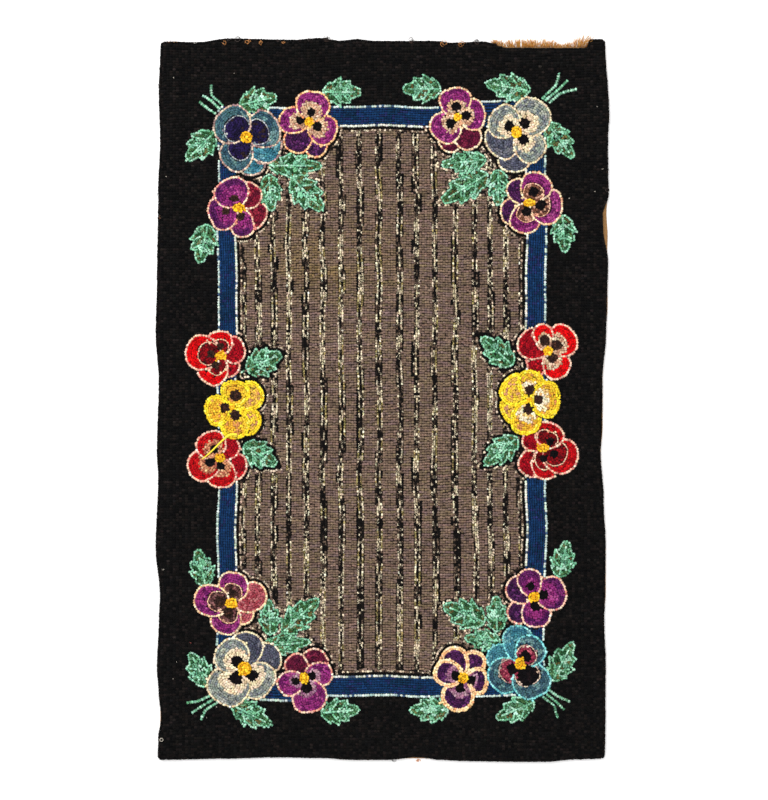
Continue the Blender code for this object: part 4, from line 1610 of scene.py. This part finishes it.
@dataclass(frozen=True)
class BurlapFinish:
    """Natural burlap: two sets of threads that cross over and under, 1.4 mm apart.

    Attributes:
        name: Of the material.
        pitch: Distance between two threads, in mm.
    """

    name: str = "burlap"
    pitch: float = 1.4

    def material(self) -> bpy.types.Material:
        """Makes the material; waves across and along in turn are the weave's height, and the colour follows
        it as painted shade, darker where the threads dip, with the slubs' own tone mixed in.
        """
        material = bpy.data.materials.new(self.name)
        material.use_nodes = True
        kit = NodeKit(material.node_tree)
        shader = material.node_tree.nodes["Principled BSDF"]
        place = kit.add("ShaderNodeTexCoord")
        split = kit.add("ShaderNodeSeparateXYZ")
        kit.join(place.outputs["Object"], split.inputs["Vector"])
        turns = 2 * math.pi / (2 * self.pitch * MM)
        across = kit.maths("SINE", kit.maths("MULTIPLY", split.outputs["X"], turns))
        along = kit.maths("SINE", kit.maths("MULTIPLY", split.outputs["Y"], turns))
        height = kit.maths("MULTIPLY", across, along)
        slub = kit.add("ShaderNodeTexNoise")
        slub.inputs["Scale"].default_value = 320.0
        slub.inputs["Detail"].default_value = 4.0
        kit.join(place.outputs["Object"], slub.inputs["Vector"])
        level = kit.maths("ADD", kit.maths("MULTIPLY", height, 0.5), slub.outputs["Fac"])
        bump = kit.add("ShaderNodeBump")
        bump.inputs["Distance"].default_value = 0.0006
        bump.inputs["Strength"].default_value = 0.8
        kit.join(level, bump.inputs["Height"])
        dye = kit.add("ShaderNodeAttribute", attribute_name="dye")
        # Painted shade: the dye is scaled from 0.5 to 1.3 by the weave's height, darker where the threads
        # dip; the slub noise in it is the threads' own tone.
        shade = kit.add("ShaderNodeMapRange")
        shade.inputs["From Min"].default_value = 0.0
        shade.inputs["From Max"].default_value = 1.2
        shade.inputs["To Min"].default_value = 0.5
        shade.inputs["To Max"].default_value = 1.3
        kit.join(level, shade.inputs["Value"])
        mixed = kit.add("ShaderNodeVectorMath", operation="SCALE")
        kit.join(dye.outputs["Color"], mixed.inputs[0])
        kit.join(shade.outputs["Result"], mixed.inputs["Scale"])
        kit.join(mixed.outputs["Vector"], shader.inputs["Base Color"])
        kit.join(bump.outputs["Normal"], shader.inputs["Normal"])
        shader.inputs["Roughness"].default_value = 0.95
        shader.inputs["Specular IOR Level"].default_value = 0.2
        return material


@dataclass(frozen=True)
class FloorFinish:
    """A plain pale floor with a faint, soft cloudiness."""

    name: str = "floor"

    def material(self) -> bpy.types.Material:
        """Makes the material."""
        material = bpy.data.materials.new(self.name)
        material.use_nodes = True
        kit = NodeKit(material.node_tree)
        shader = material.node_tree.nodes["Principled BSDF"]
        place = kit.add("ShaderNodeTexCoord")
        cloud = kit.add("ShaderNodeTexNoise")
        cloud.inputs["Scale"].default_value = 2.0
        cloud.inputs["Detail"].default_value = 3.0
        kit.join(place.outputs["Object"], cloud.inputs["Vector"])
        ramp = kit.add("ShaderNodeMix", data_type="RGBA")
        ramp.inputs["A"].default_value = (0.93, 0.93, 0.93, 1)
        ramp.inputs["B"].default_value = (0.96, 0.96, 0.96, 1)
        kit.join(cloud.outputs["Fac"], ramp.inputs["Factor"])
        kit.join(ramp.outputs["Result"], shader.inputs["Base Color"])
        shader.inputs["Roughness"].default_value = 0.9
        return material


@dataclass(frozen=True)
class LoopMesh:
    """The form of one loop: a low arch over the bed, closed all round.

    Attributes:
        ridge: Height of its top over the bed.
        drop: How far its flanks lie under its top.
        sink: How far its two ends go into the bed.
        stations: Where its three cross-sections stand, as shares of half its length.
    """

    ridge: float = 2.4
    drop: float = 1.05
    sink: float = 0.2
    stations: tuple[float, float, float] = (-0.8, 0.0, 0.8)

    FACES = np.array(
        [
            (1, 2, 5), (1, 5, 4), (4, 5, 8), (4, 8, 7),
            (2, 3, 6), (2, 6, 5), (5, 6, 9), (5, 9, 8),
            (0, 2, 1), (0, 3, 2), (10, 7, 8), (10, 8, 9),
            (3, 1, 4), (3, 4, 6), (6, 4, 7), (6, 7, 9),
            (0, 1, 3), (10, 9, 7),
        ]
    )

    def build(self, name: str, loops: Loops) -> bpy.types.Mesh:
        """Makes all loops of one piece as a single mesh.

        Args:
            name: Name of the mesh.
            loops: The loops.

        Returns:
            The mesh, with each loop's dye painted darker at its feet and flanks as shade, and with distances
            along and across it for its strands.
        """
        chance = np.random.default_rng(len(loops.x))
        count = len(loops.x)
        margin = OUTLINE.margin(loops.x, loops.y)
        top = OUTLINE.top(loops.x, loops.y, margin) + chance.uniform(-0.25, 0.05, count)
        bed = top - self.ridge
        flank = top - self.drop
        half, side = loops.length / 2, loops.width / 2
        forward, aside, height, shade = [], [], [], []
        zero = np.zeros(count)
        # Painted shade: each loop's feet get 0.85 and its flanks 0.93 of its dye, for the shade low down
        # between the loops.
        for at in (-1.0, *self.stations, 1.0):
            if abs(at) == 1.0:
                forward.append(half * at)
                aside.append(zero)
                height.append(bed - self.sink)
                shade.append(np.full(count, 0.85))
                continue
            fall = 0.6 if at else 0.0
            narrow = 0.93 if at else 1.0
            for across, level in ((1, flank - fall), (0, top - fall), (-1, flank - fall)):
                forward.append(half * at)
                aside.append(side * narrow * across)
                height.append(level)
                shade.append(np.full(count, 0.93 if across else 1.0))
        forward, aside, height, shade = (np.stack(a, axis=1) for a in (forward, aside, height, shade))
        cosine, sine = np.cos(loops.heading)[:, None], np.sin(loops.heading)[:, None]
        x = loops.x[:, None] + forward * cosine - aside * sine
        y = loops.y[:, None] + forward * sine + aside * cosine
        points = in_frame(np.stack([x, y, height], axis=2).reshape(-1, 3))
        corners = (self.FACES.ravel()[None, :] + 11 * np.arange(count)[:, None]).ravel()
        mesh = new_mesh(name, points, corners, np.full(18 * count, 3))
        # The dye and fleck attributes hold each loop's dyes with this painted shade in them.
        dyes = (loops.dye[:, None, :] * shade[:, :, None]).reshape(-1, 6)
        paint(mesh, "dye", dyes[:, :3])
        paint(mesh, "fleck", dyes[:, 3:])
        start = chance.uniform(0, 200, (count, 1))
        ply = np.stack([forward + start, aside + start, np.broadcast_to(start, forward.shape)], axis=2)
        note(mesh, "ply", ply.reshape(-1, 3))
        return mesh


@dataclass
class HookedPile:
    """All loops, and the bed that they stand in.

    Attributes:
        finish: Their wool.
        most: How many loops one piece may have.
    """

    finish: FibreFinish = field(default_factory=lambda: FibreFinish("wool"))
    most: int = 11000

    def hook(self) -> Loops:
        """Hooks the whole rug on a canvas."""
        canvas = Canvas()
        ground = Ground()
        pansies, leaves = [], []
        for pansy in PANSIES:
            pansies += pansy.hook(canvas)
        for leaf in LEAVES:
            leaves.append(leaf.hook(canvas))
        for shoot in SHOOTS:
            canvas.line(np.array(shoot), MINT.wind, Part.LEAVES, 3.9, (4.4, 5.4), 2.4)
        log.info("motifs: %d loops", canvas.count)
        ground.echo(canvas, pansies, leaves)
        ground.band(canvas)
        ground.stripe_rows(canvas)
        ground.field_rows(canvas)
        ground.border_rows(canvas)
        before = canvas.count
        canvas.fill_gaps(ground)
        log.info("rows: %d loops, gaps: %d more", before, canvas.count - before)
        return canvas.loops()

    def build(self) -> list[bpy.types.Object]:
        """Makes the pieces of loops and the bed.

        Returns:
            The objects.
        """
        material = self.finish.material()
        loops = self.hook()
        made = []
        for index, part in enumerate(Part):
            chosen = np.flatnonzero(loops.part == index)
            pieces = max(1, math.ceil(len(chosen) / self.most))
            chosen = chosen[np.argsort(loops.y[chosen], kind="stable")]
            for number, piece in enumerate(np.array_split(chosen, pieces), start=1):
                name = part.value if pieces == 1 else f"{part.value}_{number}"
                some = Loops(*(column[piece] for column in loops))
                obj = added(LoopMesh().build(name, some), material)
                self.declare(obj)
                made.append(obj)
                log.info("%s: %d loops", name, len(piece))
        bed = self.bed(material)
        made.append(bed)
        return made

    def declare(self, obj: bpy.types.Object) -> None:
        """Hangs a piece under the root body and hides the solid hooked_pile."""
        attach(obj, "root")
        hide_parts("hooked_pile")

    def bed(self, material: bpy.types.Material) -> bpy.types.Object:
        """The ground between the loops: a closed slab under them, with the pile's own rim, painted near
        black as the shade in the gaps between the loops.
        """
        across = lines(OUTLINE.width, 30.0)
        along = lines(OUTLINE.length, 30.0)
        u, v = np.meshgrid(across, along)
        place = OUTLINE.points(u, v, pile=True)
        x, y = place[..., 0], place[..., 1]
        rim = np.minimum(np.minimum(u, OUTLINE.width - u), np.minimum(v, OUTLINE.length - v))
        low = OUTLINE.base(rim)
        high = OUTLINE.top(x, y, rim) - 2.1
        rows, columns = u.shape
        top = np.stack([x, y, np.maximum(high, low + 0.6)], axis=2).reshape(-1, 3)
        under = np.stack([x, y, low], axis=2).reshape(-1, 3)
        grid = np.arange(rows * columns).reshape(rows, columns)
        quads = np.stack([grid[:-1, :-1], grid[:-1, 1:], grid[1:, 1:], grid[1:, :-1]], axis=2).reshape(-1, 4)
        count = rows * columns
        below = quads[:, ::-1] + count
        edge = np.concatenate([grid[0, :-1], grid[:-1, -1], grid[-1, :0:-1], grid[:0:-1, 0]])
        ahead = np.roll(edge, -1)
        wall = np.stack([edge + count, ahead + count, ahead, edge], axis=1)
        corners = np.concatenate([quads, below, wall])
        points = in_frame(np.concatenate([top, under]))
        mesh = new_mesh("pile_bed", points, corners.ravel(), np.full(len(corners), 4))
        # Painted shade: the bed is near black all over, for the shade deep in the gaps between the loops,
        # and its flecks are darker still.
        dark = np.repeat(linear((26, 22, 21))[None, :], len(points), axis=0)
        paint(mesh, "dye", dark)
        paint(mesh, "fleck", 0.6 * dark)
        note(mesh, "ply", points / MM)
        obj = added(mesh, material)
        self.declare(obj)
        log.info("pile_bed: %d faces", len(corners))
        return obj


def lines(length: float, cell: float) -> np.ndarray:
    """Mesh lines over a length: close together at both rims, even between them."""
    rim = np.array([0.0, 1.2, 2.5, 4.5, 7.0, 11.0, 16.0, 22.0, 28.0, 34.0, 40.0])
    count = math.ceil((length - 80) / cell)
    middle = np.linspace(40, length - 40, count + 1)
    return np.unique(np.concatenate([rim, middle, length - rim]).round(4))


@dataclass
class Foundation:
    """The burlap: one sheet with its edge turned under, and the backs of the stitches below it.

    Attributes:
        finish: Its finish.
        hem: How far the edge is turned under.
        lift: Height of the fold over the floor.
        burlap: Its dye.
    """

    finish: BurlapFinish = field(default_factory=BurlapFinish)
    hem: float = 26.0
    lift: float = 0.15
    burlap: Dye = (150, 112, 70)

    def rings(self) -> list[tuple[float, float]]:
        """Inset and height of each ring of the cloth's skin, from its top to its underside.

        The fold is a half circle round a point 1.15 mm in and 1.15 mm up, 1.15 mm outside and 0.15 mm
        inside the cloth.
        """
        turn = np.radians([90, 60, 30, 0, -30, -60, -90])
        up = self.lift * (1 - np.sin(turn)) / 2
        outside = [(1.15 - 1.15 * math.cos(a), 1.15 + 1.15 * math.sin(a) + b) for a, b in zip(turn, up)]
        inside = [(1.15 - 0.15 * math.cos(a), 1.15 + 0.15 * math.sin(a) + b) for a, b in zip(turn, up)]
        under = [(12.0, 0.0), (self.hem, 0.0), (self.hem, 0.98), (12.0, 0.98)]
        return [(40.0, 1.0), (28.0, 2.3), *outside, *under, *inside[::-1], (28.0, 1.3), (40.0, 0.0)]

    def build(self) -> bpy.types.Object:
        """Makes the cloth.

        Returns:
            The object.
        """
        across, along = lines(OUTLINE.width, 12.0), lines(OUTLINE.length, 12.0)
        rings = self.rings()
        points = [
            np.concatenate([ring, np.full((len(ring), 1), z)], axis=1)
            for ring, z in ((OUTLINE.ring(inset, across, along), z) for inset, z in rings)
        ]
        count = len(points[0])
        order = np.arange(count)
        ahead = (order + 1) % count
        quads = [
            np.stack([order, order + count, ahead + count, ahead], axis=1) + i * count
            for i in range(len(rings) - 1)
        ]
        u = 40 + across * (1 - 80 / OUTLINE.width)
        v = 40 + along * (1 - 80 / OUTLINE.length)
        gx, gy = np.meshgrid(u, v)
        inner = OUTLINE.points(gx, gy)
        rows, columns = gx.shape
        grid = np.full((rows, columns), -1)
        last = (len(rings) - 1) * count
        border = np.concatenate(
            [
                np.stack([np.zeros(columns - 1, int), np.arange(columns - 1)], axis=1),
                np.stack([np.arange(rows - 1), np.full(rows - 1, columns - 1)], axis=1),
                np.stack([np.full(columns - 1, rows - 1), np.arange(columns - 1, 0, -1)], axis=1),
                np.stack([np.arange(rows - 1, 0, -1), np.zeros(rows - 1, int)], axis=1),
            ]
        )
        grid[border[:, 0], border[:, 1]] = last + order
        free = grid < 0
        grid[free] = len(rings) * count + np.arange(free.sum())
        middle = np.concatenate([inner[free], np.zeros((free.sum(), 1))], axis=1)
        below = np.stack([grid[:-1, :-1], grid[1:, :-1], grid[1:, 1:], grid[:-1, 1:]], axis=2).reshape(-1, 4)
        everything = np.concatenate([*points, middle])
        faces = np.concatenate([*quads, below])
        corners = np.concatenate([order, faces.ravel()])
        sizes = np.concatenate([[count], np.full(len(faces), 4)])
        mesh = new_mesh("foundation_cloth", in_frame(everything), corners, sizes)
        paint(mesh, "dye", self.backs(everything))
        obj = added(mesh, self.finish.material())
        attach(obj, "root")
        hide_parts("foundation")
        log.info("foundation_cloth: %d faces", len(sizes))
        return obj

    def backs(self, points: np.ndarray) -> np.ndarray:
        """Colours of the burlap: dark rows of stitches below the pile, plain burlap on the hem."""
        x, y, z = points.T
        plain = linear(self.burlap)
        stitched = (z < 0.1) & (np.abs(x) < 312) & (np.abs(y) < 529)
        wool = 0.75 * patches(x / 4, y, 4.0, 77)[:, None]
        black, brown = linear((30, 26, 26)), linear((112, 92, 80))
        field_share = ((np.abs(x) < 226) & (np.abs(y) < 436))[:, None]
        yarn = np.where(field_share, brown, black)
        colour = plain * (1 - wool) + yarn * wool
        return np.where(stitched[:, None], colour, plain)


@dataclass
class FrayedEdge:
    """The raw burlap threads where the hem has worn through.

    Attributes:
        finish: Their finish.
        count: How many threads there are.
    """

    finish: FibreFinish = field(default_factory=lambda: FibreFinish("raw threads", 0.5, 0.95, 0.03))
    count: int = 300

    def build(self) -> bpy.types.Object:
        """Makes the threads as one mesh.

        Each is a bent line out of the cloth's edge. Its reach follows a table, and it leans, curls and
        rises by chance.

        Returns:
            The object.
        """
        chance = np.random.default_rng(21)
        x = np.sort(chance.uniform(177, 326, self.count))
        root = OUTLINE.length / 2 + OUTLINE.eased(x, TOP_SIDE, "fold") - 1.6
        reach = np.interp(x, (177, 190, 205, 245, 272, 288, 300, 312, 326), (5, 9, 12, 13, 11, 4, 9, 17, 20))
        reach = reach * chance.uniform(0.5, 1.1, self.count)
        lean = chance.normal(0, 2.2, self.count) + np.interp(x, (312, 322), (0, 9))
        share = np.linspace(0, 1, 6)[None, :]
        curl = chance.normal(0, 1.2, (self.count, 1)) * np.sin(share * np.pi)
        px = x[:, None] + lean[:, None] * share**1.6 + curl
        py = root[:, None] + (reach[:, None] + 1.6) * share
        lift = chance.uniform(0.4, 3.0, (self.count, 1))
        pz = 1.0 + lift * share + 0.6 * np.sin(share * 5 + lift)
        over = np.clip((x - 316) / 6, 0, 1)[:, None]
        pz = pz + over * 6.0 * share
        paths = in_frame(np.stack([px, py, pz], axis=2))
        radii = MM * chance.uniform(0.36, 0.66, (self.count, 1)) * (1 - 0.5 * share)
        points, corners, sizes = tubes(paths, radii, 4)
        mesh = new_mesh("frayed_threads", points, corners, sizes)
        tint = chance.random((self.count, 1, 1))
        tan = linear((196, 122, 44)) * tint + linear((226, 176, 98)) * (1 - tint)
        dark = linear((96, 54, 28))
        along = np.concatenate([np.repeat(share[0], 4), [0, 1]])[None, :, None]
        colours = dark * (1 - along) ** 2 + tan * (1 - (1 - along) ** 2)
        paint(mesh, "dye", colours.reshape(-1, 3))
        paint(mesh, "fleck", 0.7 * colours.reshape(-1, 3))
        note(mesh, "ply", points / MM * np.array([1.0, 0.2, 1.0]))
        obj = added(mesh, self.finish.material())
        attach(obj, "root")
        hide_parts("frayed_edge")
        log.info("frayed_threads: %d threads", self.count)
        return obj


class Fibre(NamedTuple):
    """Loose fibres at one place: their middle, how far they spread, how many there are, and their dye."""

    x: float
    y: float
    spread: float
    count: int
    dye: Dye
    ring: float = 0.0


TAN = (190, 128, 70)
PALE = (214, 204, 188)
SOOT = (40, 28, 24)

LOOSE_FIBRES = (
    Fibre(-339, 571, 4.0, 3, (96, 62, 40)),
    Fibre(-329, 569, 3.0, 4, TAN),
    Fibre(-297, 568, 2.0, 3, (236, 232, 224)),
    Fibre(-251, 568, 3.5, 5, TAN),
    Fibre(-243, 573, 3.0, 5, SOOT),
    Fibre(-229, 573, 1.0, 2, SOOT, 4.4),
    Fibre(-212, 568, 4.0, 6, TAN),
    Fibre(-192, 568, 4.0, 6, TAN),
    Fibre(-166, 571, 3.0, 5, SOOT),
    Fibre(-155, 568, 3.0, 4, TAN),
    Fibre(-115, 573, 3.5, 6, SOOT),
    Fibre(-87, 573, 4.5, 14, (52, 34, 26)),
    Fibre(47, 571, 4.5, 12, (58, 38, 28)),
    Fibre(100, 567, 5.0, 6, TAN),
    Fibre(128, 567, 5.0, 6, TAN),
    Fibre(152, 569, 4.0, 10, (50, 34, 26)),
    Fibre(-354, 500, 2.5, 6, SOOT),
    Fibre(-356, 326, 2.5, 5, SOOT),
    Fibre(-353, 290, 2.5, 4, (110, 72, 44)),
    Fibre(-350, -541, 1.0, 1, PALE, 2.6),
    Fibre(359, 333, 1.0, 2, SOOT, 3.0),
    Fibre(20, -573, 3.5, 6, SOOT),
    Fibre(58, -573, 3.5, 9, (204, 132, 74)),
    Fibre(339, 331, 1.5, 2, PALE),
    Fibre(343, 466, 1.2, 2, PALE),
    Fibre(299, 320, 1.2, 2, PALE),
    Fibre(351, 366, 1.2, 2, PALE),
    Fibre(-330, 511, 1.2, 2, PALE),
    Fibre(-234, 518, 1.0, 1, PALE),
    Fibre(-342, 354, 1.0, 1, PALE),
    Fibre(-347, -270, 1.2, 2, PALE),
    Fibre(-304, -387, 1.2, 2, (170, 84, 74)),
    Fibre(-331, -444, 1.0, 1, PALE),
    Fibre(-326, -417, 1.0, 1, PALE),
    Fibre(-278, -506, 1.0, 1, PALE),
    Fibre(-262, -489, 1.0, 1, PALE),
)


@dataclass
class LooseFibres:
    """Curls of wool and burlap that stand out from the edge, and lint on the black ground.

    Attributes:
        finish: Their finish.
    """

    finish: FibreFinish = field(default_factory=lambda: FibreFinish("loose fibres", 0.5, 0.95, 0.1))

    def build(self) -> bpy.types.Object:
        """Makes them as one mesh of fine curls.

        A curl runs along an arc of a small circle, or once round it where the place is a ring.

        Returns:
            The object.
        """
        chance = np.random.default_rng(5)
        count = np.array([place.count for place in LOOSE_FIBRES])
        total = int(count.sum())
        x, y, spread, ring = (
            np.repeat([getattr(place, name) for place in LOOSE_FIBRES], count)
            for name in ("x", "y", "spread", "ring")
        )
        dyes = np.repeat(linear(tuple(place.dye for place in LOOSE_FIBRES)), count, axis=0)
        share = np.linspace(0, 1, 9)[None, :]
        radius = np.where(ring > 0, ring, spread * chance.uniform(0.35, 0.9, total))[:, None]
        start = chance.uniform(0, 2 * np.pi, (total, 1))
        sweep = np.where(ring > 0, 2 * np.pi, chance.uniform(1.2, 4.2, total))[:, None]
        turn = start + sweep * share
        off = np.where(ring > 0, 0.3, 0.5) * spread
        middle_x = (x + off * chance.uniform(-1, 1, total))[:, None]
        middle_y = (y + off * chance.uniform(-1, 1, total))[:, None]
        px, py = middle_x + radius * np.cos(turn), middle_y + radius * np.sin(turn)
        margin = np.clip(OUTLINE.margin(px, py), 0, None)
        inside = OUTLINE.top(px, py, margin) + 0.25
        rise = chance.uniform(0.0, 1.0, (total, 1)) * np.sin(np.pi * share)
        pz = np.where(OUTLINE.margin(px, py) > 0, inside, 3.2) + rise
        paths = in_frame(np.stack([px, py, pz], axis=2))
        thick = np.where(ring > 0, 0.55, chance.uniform(0.2, 0.42, total))[:, None]
        radii = MM * thick * (1 - 0.4 * share)
        points, corners, sizes = tubes(paths, radii, 4)
        mesh = new_mesh("loose_fibres", points, corners, sizes)
        colours = np.repeat(dyes, 9 * 4 + 2, axis=0)
        paint(mesh, "dye", colours)
        paint(mesh, "fleck", 0.75 * colours)
        note(mesh, "ply", points / MM)
        obj = added(mesh, self.finish.material())
        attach(obj, "root")
        log.info("loose_fibres: %d curls", total)
        return obj


@dataclass
class YarnEnd:
    """The loose end of yellow yarn on top of the loops.

    Attributes:
        finish: Its finish.
        route: x and y of the points that it passes.
        diameter: Of the yarn.
        clearance: Over the loops that it lies on.
    """

    finish: FibreFinish = field(default_factory=lambda: FibreFinish("yellow yarn", 0.7, 0.85, 0.15))
    route: tuple[tuple[float, float], ...] = (
        (-230, -55.5), (-241, -56), (-250, -62.5), (-261, -73), (-269.5, -81.5), (-279, -90),
        (-285.5, -94.5),
    )
    diameter: float = 2.2
    clearance: float = 0.35

    def line(self, count: int) -> np.ndarray:
        """Evenly spaced points on a Catmull-Rom curve through the route, at the loops' level."""
        points = np.array(self.route, float)
        ends = np.concatenate([2 * points[:1] - points[1:2], points, 2 * points[-1:] - points[-2:-1]])
        t = np.linspace(0, 1, 16, endpoint=False)[:, None]
        spans = []
        for before, start, stop, after in zip(ends, ends[1:], ends[2:], ends[3:]):
            bend = 2 * before - 5 * start + 4 * stop - after
            twist = 3 * start - before - 3 * stop + after
            spans.append(start + 0.5 * (t * (stop - before) + t**2 * bend + t**3 * twist))
        fine = np.concatenate([*spans, points[-1:]])
        run = np.concatenate([[0], np.cumsum(np.hypot(*np.diff(fine, axis=0).T))])
        at = np.linspace(0, run[-1], count)
        x, y = np.interp(at, run, fine[:, 0]), np.interp(at, run, fine[:, 1])
        pile = OUTLINE.layer + OUTLINE.pile * (1 - OUTLINE.swell * OUTLINE.unevenness(x, y))
        return np.stack([x, y, pile + self.clearance + self.diameter / 2], axis=1)

    def build(self) -> bpy.types.Object:
        """Makes the yarn as two plies wound round each other, thinner at the end.

        Returns:
            The object.
        """
        core = self.line(60)
        way = np.gradient(core, axis=0)
        way /= np.linalg.norm(way, axis=1, keepdims=True)
        left = np.stack([-way[:, 1], way[:, 0], np.zeros(len(core))], axis=1)
        up = np.cross(way, left)
        share = np.linspace(0, 1, len(core))
        slack = np.interp(share, (0, 0.14, 0.3, 0.7, 0.95, 1), (2.2, 2.1, 1.6, 1.3, 1.0, 0.7))
        thick = self.diameter / 2 * slack
        turn = share * 2 * np.pi * 11
        plies = []
        for phase in (0, np.pi):
            off = np.cos(turn + phase)[:, None] * left + np.sin(turn + phase)[:, None] * up
            plies.append(core + off * (0.45 * thick)[:, None])
        paths = in_frame(np.stack(plies))
        radii = np.stack([thick * 0.55] * 2) * MM
        points, corners, sizes = tubes(paths, radii, 8)
        mesh = new_mesh("yarn_end", points, corners, sizes)
        yellow = np.repeat(linear((248, 232, 60))[None, :], len(points), axis=0)
        paint(mesh, "dye", yellow)
        paint(mesh, "fleck", 0.85 * yellow)
        note(mesh, "ply", points / MM)
        obj = added(mesh, self.finish.material())
        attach(obj, "root")
        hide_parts("yarn_tail")
        path = [tuple(point) for point in in_frame(self.line(16))]
        length = float(np.linalg.norm(np.diff(in_frame(self.line(60)), axis=0), axis=1).sum())
        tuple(path[0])
        log.info("yarn_end: %.1f mm", length / MM)
        return obj


@dataclass
class Studio:
    """Camera, light and floor: the rug seen from straight above, in soft light.

    Attributes:
        aim: x and y that the camera looks at, in mm of the frame.
        view: Width of the picture at the level of the loops, in mm.
        lens: Focal length on a 36 mm sensor.
    """

    aim: tuple[float, float] = (2.6, 0.3)
    view: float = 1221.1
    lens: float = 120.0

    def camera(self) -> None:
        """Puts the camera over the rug."""
        data = bpy.data.cameras.new("camera")
        data.sensor_fit = "HORIZONTAL"
        data.sensor_width = 36.0
        data.lens = self.lens
        data.clip_end = 20.0
        obj = bpy.data.objects.new("camera", data)
        obj.location = (self.aim[0] * MM, self.aim[1] * MM, (self.view * self.lens / 36 + 6.5) * MM)
        bpy.context.scene.collection.objects.link(obj)
        bpy.context.scene.camera = obj

    def light(self) -> None:
        """Lights the rug with one broad lamp from the upper left and an even sky."""
        data = bpy.data.lights.new("soft_lamp", "AREA")
        data.shape = "RECTANGLE"
        data.size = 2.4
        data.size_y = 1.8
        data.energy = 72.0
        obj = bpy.data.objects.new("soft_lamp", data)
        obj.location = (-1.5, 1.6, 2.6)
        obj.rotation_euler = (math.radians(-32), math.radians(-30), 0)
        bpy.context.scene.collection.objects.link(obj)
        world = bpy.data.worlds.new("even sky")
        world.use_nodes = True
        sky = world.node_tree.nodes["Background"]
        sky.inputs["Color"].default_value = (1.0, 1.0, 1.0, 1.0)
        sky.inputs["Strength"].default_value = 1.15
        bpy.context.scene.world = world
        bpy.context.scene.view_settings.view_transform = "Standard"

    def floor(self) -> None:
        """Lays the floor under the rug."""
        points = np.array([(-6, -6, 0), (6, -6, 0), (6, 6, 0), (-6, 6, 0)], float)
        points[:, 2] = -0.00005
        mesh = new_mesh("floor", points, np.arange(4), np.array([4]))
        added(mesh, FloorFinish().material())


def main() -> None:
    """Builds the scene: camera and yarn first, then cloth, pile and threads."""
    logging.basicConfig(level=logging.INFO, format="%(message)s")
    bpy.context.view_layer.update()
    studio = Studio()
    studio.camera()
    YarnEnd().build()
    Foundation().build()
    HookedPile().build()
    FrayedEdge().build()
    LooseFibres().build()
    studio.light()
    studio.floor()
    meshes = [obj.data for obj in bpy.context.scene.objects if obj.type == "MESH"]
    log.info("triangles: %d", sum(len(mesh.loops) - 2 * len(mesh.polygons) for mesh in meshes))


if __name__ == "__main__":
    main()
